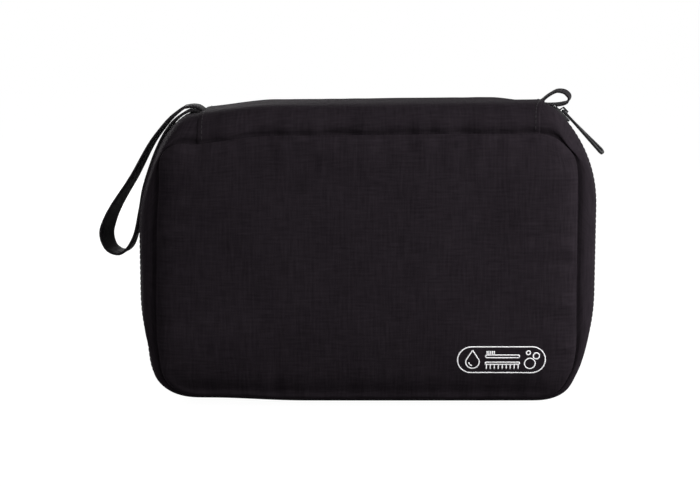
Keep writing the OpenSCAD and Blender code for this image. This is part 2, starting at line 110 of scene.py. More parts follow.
# %% Outline of the bag
MM = 0.001
ZIP_RIM = np.array([125.0, 0.0, 165.0, 70.0, 20.0, 110.0, 26.0]) * MM
PANEL_RIM = np.array([110.5, 5.0, 150.0, 12.0, 12.0, 60.0, 18.0]) * MM
INWARD = np.array([-1.0, 1.0, -1.0, -1.0, -1.0, -1.0, -1.0])
FLANK_TURN, HEEL_TURN = 46.0, 24.0
STITCH_X = 0.088
ZIP_Y = -0.010
LID, MAIN = -1, 1
HALVES = ((LID, "lid", "front"), (MAIN, "main", "rear"))
HALF_DEPTH = {LID: 0.035, MAIN: 0.055}
EDGE_DEPTH, EDGE_IN = 0.020, 0.0115
FLIP = np.array([-1.0, 1.0])


def heading(angle):
    return np.array([math.cos(math.radians(angle)), math.sin(math.radians(angle))])


def rim(share, inset=0.0):
    """Half width, lowest z, highest z and four radii, from the zip (share 0) to the panel (share 1)."""
    return ZIP_RIM + (PANEL_RIM - ZIP_RIM) * share + inset * INWARD


def centres(o):
    """Centres of the shoulder, flank, heel and toe arcs on the right side."""
    half, low, high, flank_r, shoulder_r, heel_r, toe_r = o
    up, down = heading(FLANK_TURN), heading(-HEEL_TURN)
    flank = np.array([half - flank_r, high - flank_r * up[1] - shoulder_r * (1 - up[1])])
    heel = np.array([half - heel_r, low - heel_r * down[1] + toe_r * (1 + down[1])])
    return flank + (flank_r - shoulder_r) * up, flank, heel, heel + (heel_r - toe_r) * down


def right_side(o):
    """Stretches from the top panel's right end to the bottom: two centres, a radius, two angles."""
    shoulder, flank, heel, toe = centres(o)
    flank_r, shoulder_r, heel_r, toe_r = o[3:]
    return [
        (np.array([STITCH_X, shoulder[1]]), shoulder, shoulder_r, 90, 90),
        (shoulder, shoulder, shoulder_r, 90, FLANK_TURN),
        (flank, flank, flank_r, FLANK_TURN, 0),
        (flank, np.array([flank[0], heel[1]]), flank_r, 0, 0),
        (heel, heel, heel_r, 0, -HEEL_TURN),
        (toe, toe, toe_r, -HEEL_TURN, -90),
    ]


def zip_run(o):
    """The whole run of the zip, from the top panel's right end round the bottom to its left end."""
    right, toe = right_side(o), centres(o)[3]
    left = [(c1 * FLIP, c0 * FLIP, r, -180 - a1, -180 - a0) for c0, c1, r, a0, a1 in reversed(right)]
    return right + [(toe, toe * FLIP, o[6], -90, -90)] + left


def walk(run, counts):
    """Points along a run as rows of x, z and the outward angle, with a count for each stretch."""
    found = []
    for (c0, c1, r, a0, a1), count in zip(run, counts):
        for u in np.arange(count) / count:
            angle = a0 + (a1 - a0) * u
            found.append((*(c0 + (c1 - c0) * u + r * heading(angle)), angle))
    c0, c1, r, a0, a1 = run[-1]
    found.append((*(c1 + r * heading(a1)), a1))
    return np.array(found)


def at_depth(flat, depth):
    """Points from rows that begin with x and z, at one depth or a depth for each."""
    return np.column_stack([flat[:, 0], np.broadcast_to(depth, len(flat)), flat[:, 1]])


def outward_at(angles):
    """The way out of the bag at angles of its outline."""
    turn = np.radians(angles)
    return np.column_stack([np.cos(turn), np.zeros(len(turn)), np.sin(turn)])


SIDE_COUNTS = [1, 5, 12, 14, 11, 8]
RUN_COUNTS = SIDE_COUNTS + [44] + SIDE_COUNTS[::-1]
COLUMNS = sum(RUN_COUNTS) + 1
print("outline:", COLUMNS, "columns along the zip")

# %% [markdown]
# How the cloth has settled
#
# Real cloth isn't as even as its pattern. The top of this bag slopes a little to the left, the strap's
# weight draws its left shoulder down and in, and the tab draws in the right one. Lower down the padding
# has spread the panels' seams and squared the toes, and the foot rolls under. One function moves
# whatever is near, and every soft piece goes through it, so seams that meet on the pattern still meet.

# %% Settling
SLOPE, SLOPE_FROM, SLOPE_TO = 0.0012, 0.080, -0.060
DROP, DROP_FROM, DROP_TO = 0.0055, -0.050, -0.105
DIP, DIP_FROM, DIP_FULL, DIP_LAST, DIP_TO = 0.0026, 0.070, 0.094, 0.108, 0.119
DIP_FRONT, DIP_BACK = -0.002, 0.016
HUMP, HUMP_FROM, HUMP_FULL, HUMP_LAST, HUMP_TO = 0.0014, -0.092, -0.099, -0.107, -0.117
SAG_FROM_Z, SAG_FULL_Z = 0.095, 0.150
DRAW, DRAW_FROM, DRAW_TO, DRAW_Z, DRAW_HALF = 0.0022, -0.100, -0.122, 0.128, 0.030
PINCH, PINCH_X, PINCH_Z, PINCH_HALF = 0.0031, 0.107, 0.1465, 0.018
SPREAD_Z = np.array([4, 12, 22, 40, 60, 110, 135, 152]) * MM
SPREAD = {-1: np.array([0.0, 0.4, 1.6, 3.4, 3.2, 2.0, 1.2, 0.0]) * MM,
          1: np.array([0.3, 1.2, 2.6, 1.9, 1.5, 1.1, 0.6, 0.0]) * MM}
SPREAD_FROM, SPREAD_FULL = 0.060, 0.110
TOE = {-1: (0.0038, 0.036, 0.012), 1: (0.0022, 0.018, 0.004)}
TOE_FROM, TOE_FULL = 0.080, 0.106
LIFT, LIFT_FROM, LIFT_FULL, LIFT_Z = 0.0017, -0.035, -0.085, 0.035
ROLL, ROLL_Z = {LID: 0.0072, MAIN: 0.0032}, {LID: 0.021, MAIN: 0.018}


def ease(value, low, high):
    """0 below low, 1 above high, and a smooth step between; low may be the larger."""
    t = np.clip((value - low) / (high - low), 0, 1)
    return t * t * (3 - 2 * t)


def settled(points):
    """The points with the top sagged, the shoulders drawn in, the seams spread and the foot rolled."""
    p = np.array(points, float)
    x, y, z = (p[..., k].copy() for k in range(3))
    front = y < ZIP_Y
    outer = ease(np.abs(y - ZIP_Y) / np.where(front, HALF_DEPTH[LID], HALF_DEPTH[MAIN]), 0.5, 1.0)
    sag = SLOPE * ease(x, SLOPE_FROM, SLOPE_TO) + DROP * ease(x, DROP_FROM, DROP_TO)
    sag += DIP * ease(x, DIP_FROM, DIP_FULL) * ease(x, DIP_TO, DIP_LAST) * ease(y, DIP_FRONT, DIP_BACK)
    sag -= HUMP * ease(x, HUMP_FROM, HUMP_FULL) * ease(x, HUMP_TO, HUMP_LAST)
    p[..., 2] -= sag * ease(z, SAG_FROM_Z, SAG_FULL_Z)
    p[..., 2] += LIFT * ease(x, LIFT_FROM, LIFT_FULL) * ease(z, LIFT_Z, 0.0)
    by_strap = 1 - np.minimum(np.abs(z - DRAW_Z) / DRAW_HALF, 1)
    p[..., 0] += DRAW * ease(x, DRAW_FROM, DRAW_TO) * ease(by_strap, 0, 1)
    by_tab = 1 - np.minimum(np.hypot(x - PINCH_X, z - PINCH_Z) / PINCH_HALF, 1)
    pinch = PINCH * ease(by_tab, 0, 1) * outer * front
    p[..., 0] -= pinch
    p[..., 2] -= pinch
    for way in (-1, 1):
        spread = np.interp(z, SPREAD_Z, SPREAD[way]) * outer * ease(way * x, SPREAD_FROM, SPREAD_FULL)
        size, high, low = TOE[way]
        p[..., 0] += way * (spread + size * ease(z, high, low) * ease(way * x, TOE_FROM, TOE_FULL))
    foot = 1 - np.clip(z / np.where(front, ROLL_Z[LID], ROLL_Z[MAIN]), 0, 1)
    p[..., 1] += np.where(front, ROLL[LID], -ROLL[MAIN]) * foot ** 2 * outer
    return p


print("settling: up to", round((SLOPE + DROP) * 1000, 1), "mm down at the top left")

# %% [markdown]
# Writing shaders as sums
#
# A material in Blender is a web of nodes, and a web gets hard to read when each sum is a node of its
# own. One function and two small classes help. The function adds any node and feeds its inputs. A Wire
# is an output socket that can be added and multiplied like a number, and it makes the Math nodes by
# itself. A Finish is a material. What stays the same all over a surface is set on the shader's own
# socket.

# %% Wires and finishes
def add_node(tree, kind, settings=None, sockets=None):
    """A node with its settings, and with values or other sockets fed to its inputs."""
    node = tree.nodes.new(kind)
    for key, value in (settings or {}).items():
        setattr(node, key, value)
    for key, value in (sockets or {}).items():
        if isinstance(value, bpy.types.NodeSocket):
            tree.links.new(value, node.inputs[key])
        else:
            node.inputs[key].default_value = value
    return node


class Wire:
    """An output socket that takes part in Python sums."""

    def __init__(self, finish, socket):
        self.finish = finish
        self.socket = socket

    def join(self, operation, first, second=0.0):
        return self.finish.add("ShaderNodeMath", {"operation": operation}, {0: first, 1: second})

    def __add__(self, other):
        return self.join("ADD", self, other)

    def __mul__(self, other):
        return self.join("MULTIPLY", self, other)

    def __sub__(self, other):
        return self.join("SUBTRACT", self, other)

    def __rsub__(self, other):
        return self.join("SUBTRACT", other, self)

    def __pow__(self, other):
        return self.join("POWER", self, other)

    __radd__ = __add__
    __rmul__ = __mul__

    def sine(self):
        return self.join("SINE", self)

    def size(self):
        return self.join("ABSOLUTE", self)


class Finish:
    """A material: constants go straight to the shader, and add() makes every other node's wire."""

    def __init__(self, name, **constants):
        self.material = bpy.data.materials.new(name)
        self.material.use_nodes = True
        self.tree = self.material.node_tree
        self.shader = self.tree.nodes["Principled BSDF"]
        for socket, value in constants.items():
            self.shader.inputs[socket.replace("_", " ")].default_value = value

    def add(self, kind, settings=None, sockets=None, out=0):
        fed = {key: getattr(value, "socket", value) for key, value in (sockets or {}).items()}
        return Wire(self, add_node(self.tree, kind, settings, fed).outputs[out])

    def mix(self, share, first, second):
        return self.add("ShaderNodeMix", {"data_type": "RGBA"}, {0: share, 6: first, 7: second}, 2)

    def part(self, vector, axis):
        return self.add("ShaderNodeSeparateXYZ", {}, {0: vector}, axis)

    def scaled(self, vector, sizes):
        """A place counted in steps of the given sizes."""
        steps = [1 / size for size in sizes]
        return self.add("ShaderNodeVectorMath", {"operation": "MULTIPLY"}, {0: vector, 1: steps})

    def noise(self, vector, detail=2.0):
        return self.add("ShaderNodeTexNoise", {}, {"Vector": vector, "Scale": 1.0, "Detail": detail})

    def paint(self, colour, rough, height, depth, strength=1.0):
        """Feeds the sockets that may vary over a surface."""
        bump = self.add("ShaderNodeBump", {}, {"Strength": strength, "Distance": depth, "Height": height})
        for name, wire in (("Base Color", colour), ("Roughness", rough), ("Normal", bump)):
            self.tree.links.new(wire.socket, self.shader.inputs[name])
        return self.material


TURN = 2 * math.pi
CLOTH_MAP = "cloth"


def on_cloth(finish):
    """Place on the flat cloth in metres: along it, then across it."""
    return finish.add("ShaderNodeUVMap", {"uv_map": CLOTH_MAP})


def on_object(finish):
    return finish.add("ShaderNodeTexCoord", {}, {}, "Object")


print("shader classes ready")

# %% [markdown]
# The outer cloth
#
# The shell is a matt black polyester with a heather: single yarns are a little paler than the rest,
# so fine streaks run along and across the cloth. Streaks are noise stretched thirty times in one
# direction, once for the weft and once for the warp. The weave itself is a product of two sines and
# only moves the normal. The pattern is laid on each piece's own cloth map, so it turns with the piece.

# %% Shell cloth
YARN, STREAK, WARP_STREAK = 0.0012, 0.010, 0.014
WEAVE = 0.0006
CLOUD, PATCH = (0.03, 0.03, 1), (0.012, 0.016, 1)
SHELL_DARK, SHELL_PALE = (0.0050, 0.0039, 0.0051, 1), (0.0215, 0.0172, 0.0212, 1)


def weave(finish, place, pitch):
    """Height of a plain weave with the given distance from yarn to yarn."""
    along = (finish.part(place, 0) * (TURN / pitch)).sine()
    across = (finish.part(place, 1) * (TURN / pitch)).sine()
    return along * across


def shell_cloth():
    f = Finish("shell_cloth", Specular_IOR_Level=0.012)
    place = on_cloth(f)
    weft = f.noise(f.scaled(place, (STREAK, YARN, 1)))
    warp = f.noise(f.scaled(place, (YARN, WARP_STREAK, 1)))
    cloud = f.noise(f.scaled(place, CLOUD))
    patch = f.noise(f.scaled(place, PATCH))
    heather = (weft * patch + warp * (1 - patch) - 0.5) * 1.2 + (cloud - 0.5) * 0.4 + 0.5
    colour = f.mix(heather, SHELL_DARK, SHELL_PALE)
    height = weave(f, place, WEAVE) * 0.15 + weft + warp
    return f.paint(colour, 0.95 - heather * 0.12, height, 0.00012, 0.8)


CLOTH = shell_cloth()
print("finish:", CLOTH.name)

# %% [markdown]
# Webbing, tape and elastic
#
# The strap and the loops are narrow woven webbing. Warp cords run along it and the weft crosses them
# in a fine herringbone, so its height is a sine across the band whose phase shifts along it. Zip tape
# is a finer herringbone, and elastic has straight ribs that crowd together.

# %% Narrow fabrics
FUZZ = (0.002, YARN, 1)
NARROW = {
    "webbing": dict(dark=(0.007, 0.0064, 0.0071, 1), light=(0.0262, 0.0240, 0.0262, 1),
                    cord=0.0018, step=0.0016, depth=0.00025),
    "zip_tape": dict(dark=(0.005, 0.0046, 0.0052, 1), light=(0.017, 0.0155, 0.0175, 1),
                     cord=0.0009, step=0.0011, depth=0.00012),
    "elastic": dict(dark=(0.005, 0.005, 0.0058, 1), light=(0.021, 0.020, 0.023, 1),
                    cord=0.0013, step=0.0008, depth=0.0002),
}


def herringbone(finish, place, cord, step):
    """Cords along a band, crossed by slanting weft that changes side at the middle."""
    along, across = finish.part(place, 0), finish.part(place, 1)
    slant = (along * (TURN / step) + (across * (TURN / step)).size()).sine()
    cords = (across * (TURN / cord)).sine()
    return cords * 0.6 + slant * 0.4


def narrow_fabric(name, dark, light, cord, step, depth):
    f = Finish(name, Specular_IOR_Level=0.06)
    place = on_cloth(f)
    height = herringbone(f, place, cord, step)
    fuzz = f.noise(f.scaled(place, FUZZ))
    share = height * 0.3 + fuzz * 0.6 + 0.15
    return f.paint(f.mix(share, dark, light), 0.86 - share * 0.15, height, depth)


WEBBING, TAPE, ELASTIC = (narrow_fabric(name, **look) for name, look in NARROW.items())
print("finishes:", WEBBING.name, TAPE.name, ELASTIC.name)

# %% [markdown]
# Lining, net, thread and ink
#
# The lining is a thin, closely woven polyester with a soft shine. The net and the sewing thread are
# yarn, so they only need a little fuzz. The print on the front is a matt ink that sinks into the
# weave, and so it is never quite an even white.

# %% Thin fabrics, thread and ink
LINING_YARN, LINING_CLOUD, LINING_WEAVE = (0.02, 0.0005, 1), (0.06, 0.06, 1), 0.0008
LINING_DARK, LINING_PALE = (0.030, 0.030, 0.033, 1), (0.068, 0.067, 0.073, 1)
YARNS = {
    "net": dict(dark=(0.012, 0.012, 0.014, 1), light=(0.042, 0.042, 0.047, 1), size=0.0006),
    "thread": dict(dark=(0.011, 0.0097, 0.011, 1), light=(0.030, 0.0268, 0.030, 1), size=0.0005),
    "ink": dict(dark=(0.74, 0.73, 0.75, 1), light=(0.93, 0.92, 0.93, 1), size=0.0006),
}


def lining_cloth():
    f = Finish("lining", Specular_IOR_Level=0.35, Sheen_Weight=0.08, Sheen_Roughness=0.4)
    place = on_cloth(f)
    weft = f.noise(f.scaled(place, LINING_YARN))
    cloud = f.noise(f.scaled(place, LINING_CLOUD))
    colour = f.mix(weft * 0.6 + cloud * 0.4, LINING_DARK, LINING_PALE)
    return f.paint(colour, 0.72 - weft * 0.2, weave(f, place, LINING_WEAVE) + weft, 0.0001)


def yarn(name, dark, light, size):
    f = Finish(name, Specular_IOR_Level=0.08)
    fuzz = f.noise(f.scaled(on_object(f), (size, size, size)), 3.0)
    return f.paint(f.mix(fuzz, dark, light), 0.9 - fuzz * 0.2, fuzz, 0.0001)


LINING = lining_cloth()
NET, THREAD, INK = (yarn(name, **look) for name, look in YARNS.items())
print("finishes:", LINING.name, NET.name, THREAD.name, INK.name)

# %% [markdown]
# Coil, metal and plastic
#
# The zip's coil is nylon with a dull shine. The slider and its pull are die-cast metal with a black
# coat that has thinned to grey in places. The hook is moulded plastic with the fine grain of its mould.

# %% Hard finishes
HARD = {
    "zip_coil": dict(dark=(0.009, 0.0085, 0.0095, 1), light=(0.026, 0.024, 0.027, 1), patch=0.004,
                     rough=0.38, grain=0.0006, depth=0.00004, Specular_IOR_Level=0.22),
    "slider_metal": dict(dark=(0.003, 0.003, 0.0033, 1), light=(0.022, 0.022, 0.023, 1), patch=0.003,
                         rough=0.40, grain=0.0004, depth=0.00003, Metallic=0.2, Specular_IOR_Level=0.14),
    "hook_plastic": dict(dark=(0.010, 0.010, 0.011, 1), light=(0.030, 0.030, 0.033, 1), patch=0.006,
                         rough=0.36, grain=0.0007, depth=0.00006, Specular_IOR_Level=0.5),
}


def hard(name, dark, light, patch, rough, grain, depth, **constants):
    """A hard surface: two shades in patches, and a fine grain."""
    f = Finish(name, **constants)
    place = on_object(f)
    patches = f.noise(f.scaled(place, (patch, patch, patch)), 3.0)
    fine = f.noise(f.scaled(place, (grain, grain, grain)))
    worn = patches ** 2.0 * 2.0
    return f.paint(f.mix(worn, dark, light), rough + fine * 0.15, fine, depth, 0.6)


COIL, METAL, PLASTIC = (hard(name, **look) for name, look in HARD.items())
print("finishes:", COIL.name, METAL.name, PLASTIC.name)

# %% [markdown]
# From points to cloth
#
# Cloth starts as a grid of points with a place on the flat piece for each, which becomes its UV map.
# The map is in metres, so one weave fits every piece. A few helpers do the rest: one makes the object,
# one turns its faces outwards, and one lets modifiers thicken and smooth it before they are baked into a
# plain mesh. The last puts a piece on the body that it moves with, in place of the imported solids.

# %% Mesh helpers
BAG_MIDDLE = np.array([0.0, 0.0, 0.082])
NEAR = 1e-6


def add_piece(name, points, faces, places, material):
    """An object from points, faces and the place of each point on the flat cloth."""
    mesh = bpy.data.meshes.new(name)
    mesh.from_pydata(np.asarray(points, float).tolist(), [], faces)
    corner = np.zeros(len(mesh.loops), np.int32)
    mesh.loops.foreach_get("vertex_index", corner)
    layer = mesh.uv_layers.new(name=CLOTH_MAP)
    layer.data.foreach_set("uv", np.asarray(places, np.float32)[corner].ravel())
    mesh.materials.append(material)
    mesh.shade_smooth()
    return add_object(name, mesh)


def grid_faces(rows, columns, closed=False):
    """Quads between rows of points; a closed grid joins its last column to its first."""
    last = columns if closed else columns - 1
    faces = []
    for j in range(rows - 1):
        for i in range(last):
            k = (i + 1) % columns
            faces.append((j * columns + i, j * columns + k, (j + 1) * columns + k, (j + 1) * columns + i))
    return faces


def coords(piece):
    found = np.zeros(len(piece.data.vertices) * 3, np.float32)
    piece.data.vertices.foreach_get("co", found)
    return found.reshape(-1, 3).astype(float)


def set_coords(piece, points):
    piece.data.vertices.foreach_set("co", np.asarray(points, np.float32).ravel())
    piece.data.update()


def face_out(piece, middle=BAG_MIDDLE):
    """Turns the faces so that they point away from the middle."""
    outward = 0.0
    for face in piece.data.polygons:
        outward += face.normal.dot(face.center - Vector(middle)) * face.area
    if outward < 0:
        piece.data.flip_normals()
    return piece


def sheet_grid(name, grid, along, across, material, middle=BAG_MIDDLE):
    """A sheet from rows of points, with their places along and across the flat cloth."""
    places = np.stack(np.broadcast_arrays(along, across), axis=-1).reshape(-1, 2)
    piece = add_piece(name, grid.reshape(-1, 3), grid_faces(*grid.shape[:2]), places, material)
    return face_out(piece, middle)


def bake(piece):
    """Turns the modifiers' result into the piece's own mesh."""
    graph = bpy.context.evaluated_depsgraph_get()
    mesh = bpy.data.meshes.new_from_object(piece.evaluated_get(graph))
    old = piece.data
    piece.modifiers.clear()
    piece.vertex_groups.clear()
    piece.data = mesh
    bpy.data.meshes.remove(old)
    mesh.name = piece.name
    return piece


def thicken(piece, thick, levels=1):
    """Gives a sheet its thickness, inwards, and rounds it."""
    solid = piece.modifiers.new("thickness", "SOLIDIFY")
    solid.thickness = thick
    solid.offset = -1
    smooth = piece.modifiers.new("smooth", "SUBSURF")
    smooth.levels = levels
    smooth.render_levels = levels
    return bake(piece)


def run_length(points):
    """Distance along a line of points."""
    return np.concatenate([[0], np.cumsum(np.linalg.norm(np.diff(points, axis=0), axis=1))])


def run_share(points):
    """Share of the way along a line of points."""
    length = run_length(points)
    return length / length[-1]


def sample(rows, length, stops):
    """Rows of numbers, one for each point of a line, read off at stops along it."""
    return np.column_stack([np.interp(stops, length, column) for column in rows.T])


def unit(vectors):
    return vectors / np.linalg.norm(vectors, axis=-1, keepdims=True)


@contextmanager
def open_mesh(mesh):
    """The mesh in a form that can be edited, written back at the end."""
    whole = bmesh.new()
    whole.from_mesh(mesh)
    yield whole
    whole.to_mesh(mesh)
    whole.free()


def triangles(piece):
    piece.data.calc_loop_triangles()
    return len(piece.data.loop_triangles)


def dress(piece, body, slot, *nodes):
    """Puts a piece on its body, in place of the solids it stands for; the slot is not used."""
    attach(piece, body)
    if nodes:
        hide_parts(*nodes)
    print(piece.name, triangles(piece), "triangles")


print("mesh helpers ready")

# %% [markdown]
# Letting cloth find its wrinkles
#
# A sewn edge holds the cloth, and the cloth between is a little too long for its place, so it swells
# and puckers. Blender's Cloth does this well if the sewn points are pinned, the cloth is allowed to
# grow by a few per cent near its seams, and a gentle pressure pushes from inside. Gravity is off,
# because the padding carries the cloth. No point may move more than a few millimetres, so the bag
# keeps its size.

# %% Cloth simulation
SIM_FRAMES = 22


def add_group(piece, name, weights):
    """A vertex group with a weight for each point, and its name."""
    group = piece.vertex_groups.new(name=name)
    for i, weight in enumerate(weights):
        group.add([i], float(weight), "REPLACE")
    return name


def let_pucker(piece, held, loose, spare, pressure, limit):
    """Pins the held points, lets the cloth grow by the spare share where it is loose, and bakes it."""
    before = coords(piece)
    cloth = piece.modifiers.new("cloth", "CLOTH")
    rules = cloth.settings
    rules.quality = 6
    rules.mass = 0.2
    rules.vertex_group_mass = add_group(piece, "held", held)
    rules.tension_stiffness = rules.compression_stiffness = 20
    rules.shear_stiffness = 6
    rules.bending_stiffness = 0.25
    rules.vertex_group_shrink = add_group(piece, "loose", loose)
    rules.shrink_min = 0
    rules.shrink_max = -spare
    rules.use_pressure = True
    rules.uniform_pressure_force = pressure
    rules.effector_weights.gravity = 0
    cloth.collision_settings.use_collision = False
    cloth.point_cache.frame_start = 1
    cloth.point_cache.frame_end = SIM_FRAMES
    scene = bpy.context.scene
    for step in range(1, SIM_FRAMES + 1):
        scene.frame_set(step)
    bake(piece)
    scene.frame_set(1)
    move = coords(piece) - before
    length = np.linalg.norm(move, axis=1, keepdims=True)
    set_coords(piece, before + move * np.minimum(1, limit / np.maximum(length, 1e-9)))
    print("  moved:", round(length.max() * 1000, 1), "mm at most, kept to", limit * 1000)
    return piece


def patches(points, size, seed):
    """Smooth noise from 0 to 1 at each point, in patches of the given size."""
    shift = Vector((seed * 7.3, seed * 3.1, seed * 5.7))
    return np.array([0.5 + 0.5 * noise.noise(Vector(p) / size + shift) for p in points])


print("simulation ready,", SIM_FRAMES, "frames for each piece")

# %% [markdown]
# Front and back panels
#
# Each panel is quilted over thin foam. Its edge is drawn down into the seam, which leaves the dark
# groove that frames the bag's face, and its middle swells a little. The cut is filled with nearly
# equal triangles, which let a cloth wrinkle in any direction. Depth comes from the distance to the
# seam: steep for the first few millimetres, then almost flat.

# %% Panels
GROOVE = 0.0031
PANEL_RISE, PANEL_ROUND = 0.0019, 0.0027
CROWN = {LID: 0.0020, MAIN: 0.0014}
CROWN_REACH = 0.05
FOOT_ROLL, FOOT_TALL, FOOT_EDGE = {LID: 0.0056, MAIN: 0.0022}, 0.036, 0.006
PANEL_PITCH = 0.0035
PANEL_INSETS = (0.0, 0.0011, 0.0024, 0.0042)
PANEL_THICK = 0.0014
PANEL_SIDE, PANEL_TOP = [4, 3, 5, 24, 8, 6], 46
PANEL_COUNTS = PANEL_SIDE + [48] + PANEL_SIDE[::-1]
PANEL_SEED = {LID: 1, MAIN: 2}
PUCKER_REACH, PUCKER_PATCH = 0.014, 0.02
FOLD, FOLD_STEP, FOLD_LONG, FOLD_FROM = 0.0026, 0.0075, 0.009, 0.004
TOP_FROM_Z, TOP_FULL_Z = 0.120, 0.146
TOP_SHALLOW, TOP_WIDE = 0.5, 0.25


def seam_y(side):
    return ZIP_Y + side * HALF_DEPTH[side]


def closed_loop(o, counts, top):
    """An outline as a closed loop of x and z, with a count of points for its straight top."""
    loop = walk(zip_run(o), counts)[:, :2]
    return np.vstack([loop, np.linspace(loop[-1], loop[0], top)[1:-1]])


def panel_outline(inset=0.0):
    """The panel's seam, or a loop inside it."""
    return closed_loop(rim(1, inset), PANEL_COUNTS, PANEL_TOP)


def to_seam(points, loop):
    """Distance of each point inside a closed outline, below zero outside it, and its place along it."""
    best, place = np.full(len(points), 1e9), np.zeros(len(points))
    inside = np.zeros(len(points), bool)
    start = 0.0
    for a, b in zip(loop, np.roll(loop, -1, axis=0)):
        along = b - a
        long = np.linalg.norm(along)
        t = np.clip((points - a) @ along / max(long ** 2, 1e-12), 0, 1)
        off = np.linalg.norm(points - a - t[:, None] * along, axis=1)
        place = np.where(off < best, start + t * long, place)
        best = np.minimum(best, off)
        start += long
        if a[1] != b[1]:
            crossed = (a[1] > points[:, 1]) != (b[1] > points[:, 1])
            inside ^= crossed & (points[:, 0] < a[0] + (points[:, 1] - a[1]) * along[0] / along[1])
    return np.where(inside | (best < NEAR), best, -best), place


def filled(rings, pitch):
    """Points and triangles inside the first ring: the rings themselves, then a triangular lattice."""
    low, high = rings[0].min(0), rings[0].max(0)
    lattice = []
    for j, z in enumerate(np.arange(low[1], high[1], pitch * math.sqrt(0.75))):
        lattice += [(x + pitch / 2 * (j % 2), z) for x in np.arange(low[0], high[0], pitch)]
    lattice = np.array(lattice)
    lattice = lattice[to_seam(lattice, rings[-1])[0] > 0.5 * pitch]
    every = [Vector(p) for p in np.vstack(rings + [lattice])]
    found = delaunay_2d_cdt(every, [], [list(range(len(rings[0])))], 1, 1e-7)
    return np.array([tuple(p) for p in found[0]]), [tuple(f) for f in found[2]]


def panel_bulge(distance, seam_z, side):
    """How far the panel stands out at a distance from its seam; along the top the seam is shallow."""
    top = ease(seam_z, TOP_FROM_Z, TOP_FULL_Z)
    groove = GROOVE * (1 - TOP_SHALLOW * top)
    edge = (groove + PANEL_RISE) * (1 - np.exp(-distance / (PANEL_ROUND * (1 + TOP_WIDE * top)))) - groove
    return edge + CROWN[side] * (1 - (1 - np.minimum(distance / CROWN_REACH, 1)) ** 2)


def folds(along, distance, seed):
    """Height of the small folds that run in from a seam, some longer than others."""
    rise, reach = [], []
    for place in along:
        rise.append(noise.noise(Vector((place / FOLD_STEP, seed * 9.1, 0.0))))
        reach.append(1 + noise.noise(Vector((place / (4 * FOLD_STEP), seed * 5.3, 2.0))))
    fade = np.exp(-distance / (FOLD_LONG * np.array(reach)))
    return FOLD * np.array(rise) * fade * ease(distance, 0, FOLD_FROM)


def make_panel(name, side):
    seed = PANEL_SEED[side]
    flat, faces = filled([panel_outline(inset) for inset in PANEL_INSETS], PANEL_PITCH)
    loop = panel_outline()
    distance, along = to_seam(flat, loop)
    distance = np.maximum(distance, 0)
    seam_z = np.interp(along, run_length(loop), loop[:, 1])
    depth = seam_y(side) + side * (panel_bulge(distance, seam_z, side) + folds(along, distance, seed))
    foot = 1 - np.minimum((flat[:, 1] - PANEL_RIM[1]) / FOOT_TALL, 1)
    depth -= side * FOOT_ROLL[side] * foot ** 2 * ease(distance, 0, FOOT_EDGE)
    points = settled(at_depth(flat, depth))
    panel = face_out(add_piece(name, points, faces, flat, CLOTH))
    loose = np.exp(-distance / PUCKER_REACH) * patches(points, PUCKER_PATCH, seed)
    let_pucker(panel, distance < NEAR, loose, spare=0.07, pressure=0.12, limit=0.0028)
    return thicken(panel, PANEL_THICK)


panels = {}
for side, body, end in HALVES:
    panels[side] = make_panel(end + "_panel_cloth", side)
    dress(panels[side], body, "shell_cloth", end + "_panel", end + "_foam")

# %% [markdown]
# Gussets
#
# A gusset is the long strip that joins a panel to its half of the zip. It starts at the zip with a
# turned hem, stitched a few millimetres in, runs flat, and rounds over to the seam. The rows below
# follow that section and the columns follow the outline. A last row is the seam allowance, which lies
# under the panel. Only the hem, the seam and the two ends are pinned, so the strip swells between them.

# %% Gussets
ZIP_REVEAL = 0.007
HEM_STITCH = 0.004
HEM_DEPTH = 0.0021
HOLLOW = {LID: 0.0022, MAIN: 0.0012}
GUSSET_ROUND = 0.0052
END_TIGHT = 0.035
SEAM_GROOVE = 0.0049
TOP_GROOVE, TOP_ROUND, TOP_TUCK = 0.0056, 0.0052, 0.0016
ALLOWANCE, ALLOWANCE_DEEP = 0.0040, 0.0036
ROUND_ROWS, FLAT_STEP = 9, 0.004
GUSSET_THICK = 0.0009
HEM_HELD = 5
STRIP_PATCH = 0.03
HEM_ROWS = [(-0.0003, HEM_DEPTH), (0.0, 0.0006), (0.0012, 0.0), (0.0028, 0.0), (HEM_STITCH, 0.0006),
            (0.0053, 0.0)]


def section_rows(side):
    """The gusset's section as share of the way in, depth from the zip, and the normal's two parts."""
    flat = HALF_DEPTH[side] - EDGE_DEPTH
    rows = [(0.0, ZIP_REVEAL + off, 1.0, 0.0, drop) for off, drop in HEM_ROWS]
    steps = max(2, round((flat - ZIP_REVEAL - HEM_ROWS[-1][0]) / FLAT_STEP))
    for y in np.linspace(ZIP_REVEAL + HEM_ROWS[-1][0], flat, steps + 1)[1:]:
        rows.append((0.0, y, 1.0, 0.0, 0.0))
    for a in np.linspace(0, math.pi / 2, ROUND_ROWS + 1)[1:]:
        n = unit(np.array([math.cos(a) / EDGE_IN, math.sin(a) / EDGE_DEPTH]))
        rows.append((1 - math.cos(a), flat + EDGE_DEPTH * math.sin(a), n[0], n[1], 0.0))
    return rows


def section_length(rows):
    """Distance along the section from the zip's edge to each row."""
    return run_length(np.array([((1 - share) * EDGE_IN, y) for share, y, *_ in rows]))


def shell_drop(rows, hollow, groove, reach):
    """Depth of each row below the pattern's face: a little slack, and drawn down at the seam."""
    along = section_length(rows)
    to_end = along[-1] - along
    slack = hollow * np.sin(math.pi * along / along[-1])
    return np.array([r[4] for r in rows]) + slack + groove * np.exp(-to_end / reach)


def shell_row(side, row, drop):
    share, y, nx, ny, _ = row
    return at_depth(walk(zip_run(rim(share, drop * nx)), RUN_COUNTS), ZIP_Y + side * (y - drop * ny))


